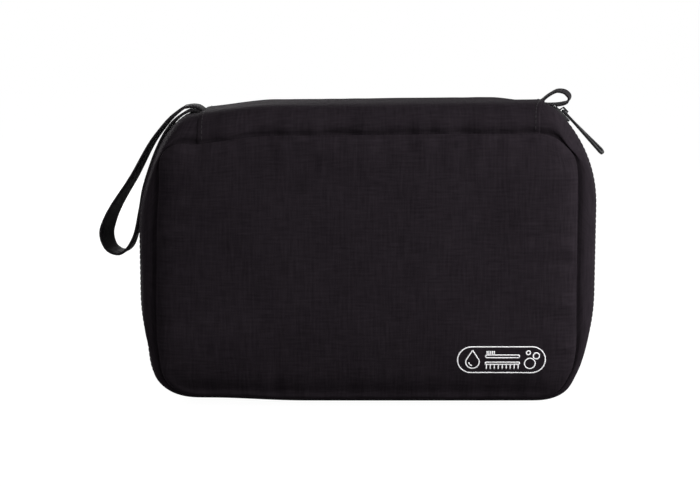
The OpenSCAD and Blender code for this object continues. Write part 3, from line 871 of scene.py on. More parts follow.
def make_gusset(name, side):
    rows = section_rows(side)
    tight, slack = (np.array([shell_row(side, r, d) for r, d in zip(rows, shell_drop(rows, *shape))])
                    for shape in ((0.0, TOP_GROOVE, TOP_ROUND), (HOLLOW[side], SEAM_GROOVE, GUSSET_ROUND)))
    along, across = run_length(slack[0]), section_length(rows)
    free = ease(np.minimum(along, along[-1] - along), 0, END_TIGHT) if side == LID else np.ones(COLUMNS)
    grid = tight + (slack - tight) * free[:, None]
    under = (1.0, HALF_DEPTH[side] - ALLOWANCE_DEEP, 1.0, 0.0, 0.0)
    grid = np.concatenate([grid, [shell_row(side, under, ALLOWANCE)]])
    across = np.append(across, across[-1] + ALLOWANCE)
    gusset = sheet_grid(name, settled(grid), along, across[:, None], CLOTH)
    held = np.zeros(grid.shape[:2])
    held[:HEM_HELD] = held[-2:] = held[:, [0, -1]] = 1
    to_end = np.repeat(across[-1] - across, COLUMNS)
    loose = np.exp(-to_end / PUCKER_REACH) * patches(grid.reshape(-1, 3), STRIP_PATCH, 3 + side)
    let_pucker(gusset, held.ravel(), loose, spare=0.03, pressure=0.05, limit=0.0018)
    return thicken(gusset, GUSSET_THICK), across[-1], along[-1]


gussets = {}
for side, body, end in HALVES:
    gussets[side], wide, long = make_gusset(end + "_gusset_cloth", side)
    dress(gussets[side], body, "shell_cloth", end + "_gusset")
    print("  cut", round(wide * 1000), "by", round(long * 1000), "mm")

# %% [markdown]
# Top panel
#
# One strip runs over the top from the front seam to the back seam, and the lid folds about it. Its ends are
# turned under and stitched down over the gussets, the strap and the tab, so they stand a little proud. It
# belongs to both halves.

# %% Top panel
END_LAP = 0.0025
END_PROUD, END_FADE = 0.0005, 0.012
END_SLANT, SLANT_BACK = 0.006, 0.010
TOP_COLUMNS = 72
TOP_THICK = 0.001
TOP_STEP = 0.0036
TOP_FOLD = 1.5


def top_section():
    """The strip's section from the front seam to the back seam: depth and height."""
    section = []
    flats = {side: HALF_DEPTH[side] - EDGE_DEPTH for side in (LID, MAIN)}
    for side in (LID, MAIN):
        rows = section_rows(side)[-ROUND_ROWS - 1:]
        along = section_length(rows)
        bend = []
        for (share, y, nx, ny, _), end in zip(rows, along[-1] - along):
            drop = TOP_GROOVE * math.exp(-end / TOP_ROUND)
            bend.append((ZIP_Y + side * (y - drop * ny), rim(share)[2] - drop * nx - TOP_TUCK * (share == 1)))
        bend.append((seam_y(side) - side * ALLOWANCE_DEEP, PANEL_RIM[2] - ALLOWANCE))
        if side == LID:
            steps = np.arange(-flats[LID], flats[MAIN], TOP_STEP)[1:]
            section = bend[::-1] + [(ZIP_Y + y, ZIP_RIM[2]) for y in steps]
        else:
            section += bend
    return np.array(section)


def right_end(depth):
    """Where the strip's right stitch line runs: it slants out to the zip and back."""
    return STITCH_X + END_SLANT * ease(depth, seam_y(LID), ZIP_Y) * ease(depth, seam_y(MAIN), SLANT_BACK)


def section_normals(section):
    """Outward normals of a section, as parts along depth and height."""
    return unit(np.column_stack([-np.gradient(section[:, 1]), np.gradient(section[:, 0])]))


def make_top_panel():
    section = top_section()
    across = run_length(section)
    left = -STITCH_X - END_LAP
    right = right_end(section[:, 0, None]) + END_LAP
    x = left + (right - left) * np.linspace(0, 1, TOP_COLUMNS + 1)
    proud = END_PROUD * np.exp(-np.minimum(x - left, right - x) / END_FADE)
    for row, (front_seam, back_seam) in enumerate(zip(across, across[-1] - across)):
        proud[row] += TOP_FOLD * (folds(x[row], front_seam, 4) + folds(x[row], back_seam, 6))
    face = section[:, None] + section_normals(section)[:, None] * proud[..., None]
    grid = np.concatenate([x[..., None], face], axis=-1)
    top = sheet_grid("top_panel_cloth", settled(grid), x, across[:, None], CLOTH)
    held = np.zeros(x.shape)
    held[:2] = held[-2:] = held[:, :2] = held[:, -2:] = 1
    loose = patches(grid.reshape(-1, 3), STRIP_PATCH, 5)
    let_pucker(top, held.ravel(), loose, spare=0.05, pressure=0.08, limit=0.0025)
    return thicken(top, TOP_THICK), across[-1]


top_panel, top_wide = make_top_panel()
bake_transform(top_panel)
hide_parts("top_panel_front", "top_panel_rear")
print(top_panel.name, "cut", round(top_wide * 1000), "mm across,", triangles(top_panel), "triangles")

# %% [markdown]
# One tree for everything that comes in rows
#
# Zip teeth and stitches are both small beads in a row, each turned to follow its row. Geometry Nodes
# does this once for both. The row comes in as loose points, and each point carries two directions: the
# way the bead lies and the way it faces. The tree puts a bead of the given length, width and height on
# every point, makes the copies real and gives them their material.

# %% Row tree
ROW_SIZES = ("Length", "Width", "Height")


def new_tree(name, floats):
    """An empty node tree with a geometry in and out, number inputs and a material input."""
    tree = bpy.data.node_groups.new(name, "GeometryNodeTree")
    tree.interface.new_socket("Geometry", in_out="INPUT", socket_type="NodeSocketGeometry")
    for title in floats:
        tree.interface.new_socket(title, in_out="INPUT", socket_type="NodeSocketFloat")
    tree.interface.new_socket("Material", in_out="INPUT", socket_type="NodeSocketMaterial")
    tree.interface.new_socket("Geometry", in_out="OUTPUT", socket_type="NodeSocketGeometry")
    return tree


def end_tree(tree, shape, given):
    """Makes copies real, sets the material and leads the shape out."""
    real = add_node(tree, "GeometryNodeRealizeInstances", {}, {0: shape})
    done = add_node(tree, "GeometryNodeSetMaterial", {}, {0: real.outputs[0], "Material": given["Material"]})
    add_node(tree, "NodeGroupOutput", {}, {0: done.outputs[0]})
    return tree


def row_tree():
    tree = new_tree("row", ROW_SIZES)
    given = tree.nodes.new("NodeGroupInput").outputs
    size = add_node(tree, "ShaderNodeCombineXYZ", {}, {i: given[k] for i, k in enumerate(ROW_SIZES)})
    bead = add_node(tree, "GeometryNodeMeshUVSphere", {}, {"Segments": 8, "Rings": 6, "Radius": 0.5})
    round_bead = add_node(tree, "GeometryNodeSetShadeSmooth", {}, {0: bead.outputs[0]})
    ways = []
    for title in ("along", "outward"):
        way = add_node(tree, "GeometryNodeInputNamedAttribute", {"data_type": "FLOAT_VECTOR"},
                       {"Name": title})
        ways.append(way.outputs[0])
    turn = add_node(tree, "FunctionNodeAxesToRotation", {"primary_axis": "X", "secondary_axis": "Z"},
                    {0: ways[0], 1: ways[1]})
    dots = add_node(tree, "GeometryNodeMeshToPoints", {}, {0: given["Geometry"]})
    rows = add_node(tree, "GeometryNodeInstanceOnPoints", {}, {
        "Points": dots.outputs[0], "Instance": round_bead.outputs[0], "Rotation": turn.outputs[0],
        "Scale": size.outputs[0]})
    return end_tree(tree, rows.outputs[0], given)


ROW_TREE = row_tree()


def grow(piece, tree, material, **sizes):
    """Runs a tree on a piece with the given sizes and keeps the result as a plain mesh."""
    rule = piece.modifiers.new(tree.name, "NODES")
    rule.node_group = tree
    values = dict(sizes, Material=material)
    for item in tree.interface.items_tree:
        if item.in_out == "INPUT" and item.name in values:
            rule[item.identifier] = values[item.name]
    return bake(piece)


def make_row(name, points, along, outward, material, **sizes):
    """A row of beads on points, each turned by its two directions."""
    mesh = bpy.data.meshes.new(name)
    mesh.from_pydata(np.asarray(points, float).tolist(), [], [])
    for title, ways in (("along", along), ("outward", outward)):
        data = mesh.attributes.new(title, "FLOAT_VECTOR", "POINT").data
        data.foreach_set("vector", np.asarray(ways, np.float32).ravel())
    return grow(add_object(name, mesh), ROW_TREE, material, **sizes)


print("row tree:", len(ROW_TREE.nodes), "nodes")

# %% [markdown]
# Zip tape and teeth
#
# The tape is a narrow band a few millimetres below the face of the bag, sewn under each hem. The two
# tapes meet behind the teeth, except where the slider runs between them. The coil is nylon wire wound
# into loops. From outside one sees a bar for each turn, with a thicker head at the middle where the two
# sides lock. The sides are half a step apart. At the closed slider its wedge parts them, so near it each
# tooth moves away from the middle.

# %% Zip
TAPE_DROP, TAPE_THICK = 0.0027, 0.0006
TAPE_UNDER = {LID: 0.0, MAIN: 0.0009}
TAPE_ROWS = ((-0.0003, 0.0019, 1.0), (0.0009, 0.0022, 0.7)) + tuple(
    (reach, reach, 0.0) for reach in (0.0026, 0.0045, 0.0070, 0.0095, 0.0120))
SHUT_FROM, SHUT_FULL = 0.0, -6.0
TOOTH_PITCH, TOOTH_DROP = 0.0021, 0.0014
TOOTH_START = {LID: 0.25, MAIN: 0.75}
TOOTH_ROOT, TOOTH_HEAD, CORD_ROOT = 0.0031, -0.0006, 0.0027
TOOTH_LONG, TOOTH_MIDDLE = TOOTH_ROOT - TOOTH_HEAD, (TOOTH_ROOT + TOOTH_HEAD) / 2
HEAD_OFF = TOOTH_LONG * 0.36
TOOTH_SIZE = {"Length": TOOTH_LONG, "Width": 0.0011, "Height": 0.0021}
HEAD_SIZE = {"Length": 0.0013, "Width": 0.0015, "Height": 0.0020}
CORD_SIZE = {"Length": TOOTH_PITCH * 1.5, "Width": 0.0010, "Height": 0.0016}
TOOTH_FINE = 8
WEDGE_TIP, WEDGE_FULL, WEDGE_PART = 42.0, 46.7, 0.0017


def make_tape(name, side):
    stops = walk(zip_run(rim(0, TAPE_DROP)), RUN_COUNTS)
    under = walk(zip_run(rim(0, TAPE_DROP + TAPE_UNDER[side])), RUN_COUNTS)
    shut = ease(stops[:, 2], SHUT_FROM, SHUT_FULL)
    grid, reaches = [], []
    for closed, parted, dip in TAPE_ROWS:
        reach = parted + (closed - parted) * shut
        line = stops + (under - stops) * (dip * shut)[:, None]
        grid.append(at_depth(line, ZIP_Y + side * reach))
        reaches.append(reach)
    along = run_length(grid[-1])
    tape = sheet_grid(name, settled(grid), along, np.array(reaches), TAPE)
    thicken(tape, TAPE_THICK)
    return tape


def join(name, pieces):
    """One piece from several with the same material."""
    with open_mesh(pieces[0].data) as whole:
        for piece in pieces[1:]:
            whole.from_mesh(piece.data)
    for piece in pieces[1:]:
        bpy.data.objects.remove(piece)
    pieces[0].name = name
    return pieces[0]


def make_teeth(name, side):
    line = walk(zip_run(rim(0, TOOTH_DROP)), [TOOTH_FINE * n for n in RUN_COUNTS])
    length = run_length(line[:, :2])
    stops = sample(line, length, np.arange(TOOTH_PITCH * TOOTH_START[side], length[-1], TOOTH_PITCH))
    angle = stops[:, 2]
    parted = WEDGE_PART * np.clip((angle - WEDGE_TIP) / (WEDGE_FULL - WEDGE_TIP), 0, 1)
    points = at_depth(stops, ZIP_Y + side * (TOOTH_MIDDLE + parted))
    across = np.tile([0.0, side, 0.0], (len(points), 1))
    cord = points + across * (CORD_ROOT - TOOTH_MIDDLE)
    rows = (("", points, across, TOOTH_SIZE), ("_heads", points - across * HEAD_OFF, across, HEAD_SIZE),
            ("_cord", cord, np.gradient(cord, axis=0), CORD_SIZE))
    return join(name, [make_row(name + part, settled(places), ways, outward_at(angle), COIL, **size)
                       for part, places, ways, size in rows])


for side, body, end in HALVES:
    dress(make_tape("tape_" + end, side), body, "zip_tape", "zip_tape_" + end)
    dress(make_teeth("teeth_" + end, side), body, "zip_coil", "zip_coil_" + end)

# %% [markdown]
# Slider and pull
#
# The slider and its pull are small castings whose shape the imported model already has. A casting has no
# knife edges, though, so each is copied, its loose triangles are merged into one skin, and its sharp
# edges get a fine bevel that catches the light. The pull is a thin slotted tongue, a little twisted.

# %% Castings
FLAT_WITHIN, BEVEL_OVER, SHARP_OVER = 1, 35, 40
SLIDER_BEVEL, PULL_BEVEL = 0.00018, 0.00022
PULL_TWIST, TWIST_FROM = 24.0, 0.006


def cast(name, node, width, material):
    """A copy of a hard node with its sharp edges eased."""
    mesh = bpy.data.objects[node].data.copy()
    mesh.name = name
    mesh.materials.clear()
    mesh.materials.append(material)
    with open_mesh(mesh) as skin:
        bmesh.ops.remove_doubles(skin, verts=skin.verts, dist=NEAR)
        bmesh.ops.dissolve_limit(skin, angle_limit=math.radians(FLAT_WITHIN), verts=skin.verts,
                                 edges=skin.edges)
    piece = add_object(name, mesh)
    bevel = piece.modifiers.new("bevel", "BEVEL")
    bevel.width = width
    bevel.segments = 2
    bevel.limit_method = "ANGLE"
    bevel.angle_limit = math.radians(BEVEL_OVER)
    bake(piece)
    piece.data.shade_smooth()
    piece.data.set_sharp_from_angle(angle=math.radians(SHARP_OVER))
    return piece


def twist_pull(piece):
    """Turns the pull's grip about its own length, by more towards its end."""
    points = coords(piece)
    middle = points.mean(axis=0)
    way = np.linalg.svd(points - middle, full_matrices=False)[2][0]
    way *= np.sign(way[0])
    along = (points - middle) @ way
    turn = np.radians(PULL_TWIST) * ease(along, along.min() + TWIST_FROM, along.max())
    off = points - middle - along[:, None] * way
    turned = off * np.cos(turn)[:, None] + np.cross(way, off) * np.sin(turn)[:, None]
    set_coords(piece, middle + along[:, None] * way + turned)
    return piece


dress(cast("slider_cast", "zip_slider", SLIDER_BEVEL, METAL), "slider", "slider_metal", "zip_slider")
pull = twist_pull(cast("pull_cast", "zip_pull", PULL_BEVEL, METAL))
dress(pull, "pull", "slider_metal", "zip_pull")

# %% [markdown]
# Strap and tab
#
# The carrying strap is one length of webbing. Both its ends are sewn under the top panel's left end;
# it lies back along the bag's shoulder, hangs away from the side in a loop and comes back up against
# the cloth. The tab is a narrower loop at the other end, where a thumb holds the bag while the zip is
# pulled. Webbing bends one way only, so each is a flat section swept along a path, with a slow twist
# where it hangs free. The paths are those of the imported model, smoothed by the same curve.

# %% Band along a path
SECTION = np.array([(-1.0, 0.0), (-0.975, 0.75), (-0.88, 1.0), (-0.45, 0.9), (0.0, 0.86), (0.45, 0.9),
                    (0.88, 1.0), (0.975, 0.75), (1.0, 0.0), (0.975, -0.75), (0.88, -1.0), (0.45, -0.9),
                    (0.0, -0.86), (-0.45, -0.9), (-0.88, -1.0), (-0.975, -0.75)])


def smooth_path(points, steps):
    """A curve through every point."""
    p = np.asarray(points, float)
    p = np.vstack([p[0], p, p[-1]])
    found = []
    for a, b, c, d in zip(p, p[1:], p[2:], p[3:]):
        for u in np.arange(steps) / steps:
            found.append(0.5 * (2 * b + (c - a) * u + (2 * a - 5 * b + 4 * c - d) * u ** 2
                                + (3 * b - a - 3 * c + d) * u ** 3))
    return np.array(found + [p[-1]])


def make_band(name, path, across, wide, thick, material):
    """Sweeps the section along a path of points; across says which way the band's width lies."""
    tangent = unit(np.gradient(path, axis=0))
    across = unit(across - (across * tangent).sum(1, keepdims=True) * tangent)
    face = np.cross(across, tangent)
    grid = (path[:, None] + across[:, None] * (SECTION[:, 0] * 0.5)[:, None] * wide
            + face[:, None] * (SECTION[:, 1] * thick * 0.5)[:, None])
    count, ring = grid.shape[:2]
    along = run_length(path)
    places = np.stack(np.broadcast_arrays(along[:, None], SECTION[:, 0] * wide / 2), axis=-1)
    faces = grid_faces(count, ring, True)
    faces += [tuple(range(ring))[::-1], tuple((count - 1) * ring + i for i in range(ring))]
    band = add_piece(name, grid.reshape(-1, 3), faces, places.reshape(-1, 2), material)
    with open_mesh(band.data) as whole:
        bmesh.ops.recalc_face_normals(whole, faces=whole.faces)
    return band, along[-1]


print("band section:", len(SECTION), "points")

# %% [markdown]
# The strap's path is set out round the two arcs of the bag's left shoulder, by the angle and how far
# off the cloth it stands. Its roots dive under the top panel, where they are sewn flat.

# %% Strap
SHOULDER, FLANK = zip(centres(ZIP_RIM), (ZIP_RIM[4], ZIP_RIM[3]))
STRAP_W, STRAP_T = 0.018, 0.0016
STRAP_LAY, STRAP_PLY = 0.0013, 0.0019
STRAP_Y = -0.005
STRAP_START = [(-0.0868, 0.1633), (-0.0900, 0.1644)]
STRAP_OVER = [(80, 0.5), (66, 1.0)]
STRAP_FREE = [(50, 2.1), (42, 3.0), (32, 4.2), (20, 5.8), (6, 10.0), (-7, 18.2), (-12, 21.6),
              (-16.8, 21.0), (-19.6, 16.6), (-19, 11.3), (-15.2, 6.2), (-9.5, 2.3)]
STRAP_BACK = [(-2, 1), (8, 1), (17, 1), (26, 1), (35, 1.2), (43, 1.2)]
STRAP_UNDER = [(52, 0.9), (66, 0.6), (80, 0.2)]
STRAP_END = [(-0.0900, 0.1628), (-0.0868, 0.1617)]
STRAP_TWIST = {0.06: 0.0, 0.28: 8.0, 0.44: 18.0, 0.52: 9.0, 0.58: 0.0, 1.0: 0.0}
STRAP_STEPS = 4


def off_arc(arc, stops, base, step, flip=1.0):
    """Points off an arc, from pairs of an angle and a count of steps beyond the base distance."""
    centre, radius = arc
    return [(centre + (radius + base + step * k) * heading(angle)) * (flip, 1.0) for angle, k in stops]


def strap_path():
    over = off_arc(SHOULDER, STRAP_OVER, STRAP_LAY, STRAP_PLY, -1)
    free = off_arc(FLANK, STRAP_FREE, STRAP_LAY, MM, -1)
    back = off_arc(FLANK, STRAP_BACK, 0.0, STRAP_LAY, -1)
    under = off_arc(SHOULDER, STRAP_UNDER, 0.0, STRAP_LAY, -1)
    return smooth_path(STRAP_START + over + free + back + under + STRAP_END, STRAP_STEPS)


def make_strap():
    flat = strap_path()
    path = settled(at_depth(flat, STRAP_Y + STRAP_W / 2))
    twist = np.radians(np.interp(run_share(flat), list(STRAP_TWIST), list(STRAP_TWIST.values())))
    across = np.column_stack([np.sin(twist), np.cos(twist), np.zeros(len(twist))])
    return make_band("strap_webbing", path, across, STRAP_W, STRAP_T, WEBBING)


strap, strap_long = make_strap()
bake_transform(strap)
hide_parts("carry_strap")
print("strap:", round(strap_long * 1000), "mm of webbing")

# %% [markdown]
# The tab stands up in a small loop over the slider. Its two strands spring apart, and it leans a little
# to one side, as short loops do.

# %% Tab
TAB_W, TAB_T = 0.008, 0.0012
TAB_LAY, TAB_PLY = 0.0011, 0.0015
TAB_FREE = [(68, 3.3), (62.5, 7.0), (58, 8.7), (53, 9.6), (47.5, 9.1), (45.5, 6.4), (48.5, 3.4), (55, 0.7)]
TAB_START = [(0.0905, 0.1638), (0.0935, 0.1650), (0.0962, 0.1664)]
TAB_UNDER = [(66, 0), (74, 0)]
TAB_END = [(0.0935, 0.1642), (0.0905, 0.1632)]
TAB_TWIST, TAB_LEAN = 17.0, 0.6
TAB_DROP = 0.0017
TAB_STEPS = 5


def make_tab():
    free = off_arc(SHOULDER, TAB_FREE, TAB_LAY + TAB_PLY, MM)
    under = off_arc(SHOULDER, TAB_UNDER, TAB_LAY, MM)
    flat = smooth_path(TAB_START + free + under + TAB_END, TAB_STEPS)
    path = at_depth(flat, STRAP_Y + TAB_W / 2) - (0.0, 0.0, TAB_DROP)
    twist = np.radians(TAB_TWIST) * np.sin(math.pi * run_share(flat)) ** 2
    across = np.column_stack([np.sin(twist), np.cos(twist), TAB_LEAN * np.sin(twist)])
    return make_band("tab_webbing", path, across, TAB_W, TAB_T, WEBBING)


tab, tab_long = make_tab()
dress(tab, "main", "webbing", "tab_loop")
print("tab:", round(tab_long * 1000), "mm of webbing")

# %% [markdown]
# Linings
#
# Each half is lined with thin grey cloth: a long strip along the gusset and a flat wall over the foam.
# Nobody irons a lining, so the wall has shallow wrinkles. They come from smooth noise, which is enough
# for cloth that lies on a pad. The strip follows the gusset's section a few millimetres further in.

# %% Linings
LINING_REVEAL, LINING_STEP = 0.0085, 0.002
LINING_DROP, LINING_THICK, LINING_ROUND = 0.0052, 0.0006, 0.0042
TOP_SINK, SINK_FROM, SINK_FULL = 0.0030, 0.118, 0.146
LINING_PITCH, LINING_TOP = 0.006, 30
WRINKLE, WRINKLE_SIZE, WRINKLE_FULL = 0.00030, 0.022, 0.02


def top_sink(z):
    """How much further in the lining lies along the top, clear of the top panel's seam."""
    return TOP_SINK * ease(z, SINK_FROM, SINK_FULL)


def lining_rings(side):
    """Rings of the lining's strip, from its edge at the zip to the wall."""
    rows = [r for r in section_rows(side) if r[1] > LINING_REVEAL + LINING_STEP]
    rows.insert(0, (0.0, LINING_REVEAL, 1.0, 0.0, 0.0))
    along = section_length(rows)
    rings = []
    for (share, y, nx, ny, _), reach in zip(rows, along):
        drop = LINING_DROP + HOLLOW[side] * math.sin(math.pi * reach / along[-1])
        loop = closed_loop(rim(share, drop * nx + LINING_ROUND * share ** 2), RUN_COUNTS, LINING_TOP)
        sunk = top_sink(loop[:, 1]) * share ** 2
        rings.append(at_depth(loop, ZIP_Y + side * (y - drop * ny - sunk)))
    return np.array(rings), along


def make_lining(name, side):
    rings, along = lining_rings(side)
    strip = settled(rings).reshape(-1, 3)
    round_bag = run_length(rings[0])
    strip_places = np.stack(np.broadcast_arrays(round_bag, along[:, None]), axis=-1).reshape(-1, 2)
    edge = rings[-1][:, [0, 2]]
    flat, wall_faces = filled([edge], LINING_PITCH)
    inside = np.maximum(to_seam(flat, edge)[0], 0)
    rise = WRINKLE * ease(inside, 0, WRINKLE_FULL)
    rise = rise * patches(np.column_stack([flat, np.zeros(len(flat))]), WRINKLE_SIZE, 8 + side)
    wall = settled(at_depth(flat, seam_y(side) - side * (LINING_DROP + rise + top_sink(flat[:, 1]))))
    faces = grid_faces(len(rings), rings.shape[1], True)
    faces += [tuple(i + len(strip) for i in face) for face in wall_faces]
    lining = add_piece(name, np.vstack([strip, wall]), faces, np.vstack([strip_places, flat]), LINING)
    middle = Vector((0.0, ZIP_Y, BAG_MIDDLE[2]))
    with open_mesh(lining.data) as whole:
        bmesh.ops.remove_doubles(whole, verts=whole.verts, dist=NEAR)
        for face in whole.faces:
            if face.normal.dot(face.calc_center_median() - middle) > 0:
                face.normal_flip()
    area = sum(face.area for face in lining.data.polygons)
    return thicken(lining, LINING_THICK), area, round_bag[-1]


for side, body, _ in HALVES:
    lining, area, girth = make_lining(body + "_lining_cloth", side)
    dress(lining, body, "lining", body + "_lining")
    area / girth
    print("  of", round(area * 1e4), "square cm")

# %% [markdown]
# Back pocket
#
# A pocket of the same cloth stands against the back wall. It is sewn down at its foot and sides, and
# elastic along the top draws it in, so the cloth gathers into small folds just below. The folds are a
# sine along the pocket whose step drifts with a little noise.

# %% Back pocket
WALL_Y = {side: seam_y(side) - side * LINING_DROP for side in (LID, MAIN)}
POCKET_HALF, POCKET_LOW, POCKET_TALL, POCKET_BOW = 0.085, 0.016, 0.078, 0.008
POCKET_THICK, PLY_GAP = 0.0008, 0.0003
POCKET_COLUMNS, POCKET_ROWS = 121, 19
GATHER, GATHER_STEP, GATHER_FROM, GATHER_FULL = 0.0006, 0.0075, 0.5, 0.92
DRIFT = ((0.5, 47.0, 0.0), (0.3, 113.0, 1.0))
ELASTIC_WIDE, ELASTIC_THICK, ELASTIC_HALF, ELASTIC_ROWS = 0.008, 0.0008, 0.995, 7
BEHIND = np.array([0.0, 0.2, 0.05])


def pocket_face(u, v, off=0.0):
    """Points on the pocket; u runs from side to side (-1 to 1) and v from the foot to the top."""
    u, v = np.meshgrid(u, v)
    x = u * POCKET_HALF
    bow = POCKET_BOW * (1 - u ** 2) * v ** 0.7
    drift = sum(size * np.sin(x * rate + shift) for size, rate, shift in DRIFT)
    gathered = ease(v, GATHER_FROM, GATHER_FULL) * (1 - u ** 8)
    fold = GATHER * np.sin(TURN * (x / GATHER_STEP + drift)) * gathered
    y = WALL_Y[MAIN] - PLY_GAP - POCKET_THICK - bow - fold - off
    return np.stack([x, y, POCKET_LOW + POCKET_TALL * v], axis=-1)


def make_sheet(name, grid, material, thick):
    """A sheet of the pocket, facing into the bag, with its height and width."""
    across = run_length(grid[:, grid.shape[1] // 2])
    along = run_length(grid[0])
    piece = sheet_grid(name, grid, along, across[:, None], material, BEHIND)
    return thicken(piece, thick), across[-1], along[-1]


columns = np.linspace(-1, 1, POCKET_COLUMNS)
pocket_grid = pocket_face(columns, np.linspace(0, 1, POCKET_ROWS))
pocket, pocket_tall, pocket_wide = make_sheet("pocket_cloth", pocket_grid, LINING, POCKET_THICK)
elastic_rows = np.linspace(1 - ELASTIC_WIDE / POCKET_TALL, 1, ELASTIC_ROWS)
elastic_grid = pocket_face(columns * ELASTIC_HALF, elastic_rows, ELASTIC_THICK + PLY_GAP)
pocket_elastic, *_ = make_sheet("pocket_elastic_band", elastic_grid, ELASTIC, ELASTIC_THICK)
dress(pocket, "main", "lining", "inner_pocket")
dress(pocket_elastic, "main", "elastic", "pocket_elastic")
print("pocket:", round(pocket_wide * 1000), "mm wide, gathered")

# %% [markdown]
# Net pocket
#
# The lid has a net pocket so that its contents show. Warp-knit net has six-sided holes, and a six-sided
# grid is the dual of a triangular one: swap every triangle for a point. So a second small tree takes a
# lattice of triangles, swaps it, and turns the edges into round yarn.

# %% Net
NET_LOW, NET_TALL, NET_WIDE = 0.032, 0.088, 0.176
BINDING_WIDE = 0.007
NET_STEP, NET_YARN, NET_SIDES = 0.0034, 0.00032, 5
NET_Y, NET_BULGE = WALL_Y[LID] + 0.0007, 0.0022


def net_tree():
    tree = new_tree("net", ("Yarn",))
    given = tree.nodes.new("NodeGroupInput").outputs
    holes = add_node(tree, "GeometryNodeDualMesh", {}, {0: given["Geometry"]})
    lines = add_node(tree, "GeometryNodeMeshToCurve", {}, {0: holes.outputs[0]})
    ring = add_node(tree, "GeometryNodeCurvePrimitiveCircle", {},
                    {"Resolution": NET_SIDES, "Radius": given["Yarn"]})
    yarn_tube = add_node(tree, "GeometryNodeCurveToMesh", {}, {0: lines.outputs[0], 1: ring.outputs[0]})
    round_tube = add_node(tree, "GeometryNodeSetShadeSmooth", {}, {0: yarn_tube.outputs[0]})
    return end_tree(tree, round_tube.outputs[0], given)


def make_net():
    wide = NET_WIDE - BINDING_WIDE
    tall = NET_TALL - BINDING_WIDE
    columns = round(wide / NET_STEP) + 1
    rows = round(tall / (NET_STEP * math.sqrt(0.75))) + 1
    v, u = np.meshgrid(np.linspace(-1, 1, rows), np.linspace(-1, 1, columns), indexing="ij")
    x = u * wide / 2 + (np.arange(rows) % 2)[:, None] * NET_STEP / 2 - NET_STEP / 4
    z = NET_LOW + NET_TALL / 2 + v * tall / 2
    y = NET_Y + NET_BULGE * (1 - u ** 4) * (1 - v ** 4)
    faces = []
    for a, b, c, d in grid_faces(rows, columns):
        odd = (a // columns) % 2
        faces += [(a, b, c), (a, c, d)] if odd else [(a, b, d), (b, c, d)]
    points = np.stack([x, y, z], axis=-1).reshape(-1, 3)
    net = add_piece("net_cloth", points, faces, points[:, [0, 2]], NET)
    return grow(net, net_tree(), NET, Yarn=NET_YARN)


dress(make_net(), "lid", "net", "mesh_net")

# %% [markdown]
# Binding, elastic and hook tab
#
# The net's three sewn edges are covered by binding tape, its free edge by elastic, and a short piece of
# webbing folded round the hook's bar is sewn into the lid near the zip. All are bands with the strap's
# section, laid along short paths.

# %% Bands inside the lid
BINDING_Y, BINDING_THICK = WALL_Y[LID] + 0.0018, 0.0008
BAND_STEPS, ELASTIC_STEPS = 24, 160
RIPPLE, RIPPLE_STEP, ELASTIC_BOW = 0.0004, 0.006, 0.0010
BAR_Y, BAR_Z, BAR_ROUND = -0.020, 0.012, 0.0024
HOOK_TAB_W, HOOK_TAB_T = 0.019, 0.001
HOOK_TAILS = [(HOOK_TAB_T * 0.52, z) for z in (-0.0074, -0.0055, -0.0036)]
HOOK_TURNS = np.radians(np.linspace(-62, 242, 19))
SIDEWAYS, UPWARD = (1.0, 0.0, 0.0), (0.0, 0.0, 1.0)


def make_binding():
    low, high = NET_LOW + BINDING_WIDE / 2, NET_LOW + NET_TALL
    half = (NET_WIDE - BINDING_WIDE) / 2
    runs = [((-half, NET_LOW), (-half, high), SIDEWAYS), ((-half, low), (half, low), UPWARD),
            ((half, NET_LOW), (half, high), SIDEWAYS)]
    bands = []
    for i, (start, end, way) in enumerate(runs):
        path = at_depth(np.linspace(start, end, BAND_STEPS), BINDING_Y)
        bands.append(make_band("binding_%d" % i, path, way, BINDING_WIDE, BINDING_THICK, TAPE)[0])
    return join("net_binding", bands)


def make_net_elastic():
    half = NET_WIDE / 2 - BINDING_WIDE - PLY_GAP
    x = np.linspace(-half, half, ELASTIC_STEPS)
    ripple = RIPPLE * np.sin(TURN * x / RIPPLE_STEP) + ELASTIC_BOW * (1 - (x / half) ** 4)
    height = np.full(ELASTIC_STEPS, NET_LOW + NET_TALL - ELASTIC_WIDE / 2)
    path = np.column_stack([x, BINDING_Y + ripple, height])
    return make_band("net_elastic_band", path, UPWARD, ELASTIC_WIDE, ELASTIC_THICK, ELASTIC)[0]


def make_hook_tab():
    loop = BAR_ROUND * np.column_stack([np.cos(HOOK_TURNS), np.sin(HOOK_TURNS)])
    flat = np.vstack([HOOK_TAILS, loop, [(-y, z) for y, z in reversed(HOOK_TAILS)]])
    path = np.column_stack([np.zeros(len(flat)), BAR_Y + flat[:, 0], BAR_Z + flat[:, 1]])
    return make_band("hook_tab_webbing", path, SIDEWAYS, HOOK_TAB_W, HOOK_TAB_T, WEBBING)


binding = make_binding()
net_elastic = make_net_elastic()
hook_tab, hook_tab_long = make_hook_tab()
dress(binding, "lid", "webbing", "mesh_binding")
dress(net_elastic, "lid", "elastic", "mesh_elastic")
dress(hook_tab, "lid", "webbing", "hook_tab")

# %% [markdown]
# Hook
#
# The hook and its frame are moulded plastic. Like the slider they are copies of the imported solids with
# their edges eased.

# %% Hook
HOOK_BEVEL = 0.0004
for name, node in (("hook_frame_mould", "hook_frame"), ("hook_mould", "hook")):
    dress(cast(name, node, HOOK_BEVEL, PLASTIC), node, "hook_plastic", node)

# %% [markdown]
# Sewing
#
# Stitches hold the hems to the zip tape, close the top panel's ends and fix the pockets. Each row
# starts as a line beside the cloth. Rays dropped on to the finished cloth find where every stitch
# lies, so the thread follows each pucker, and the row tree from the zip makes the stitches.

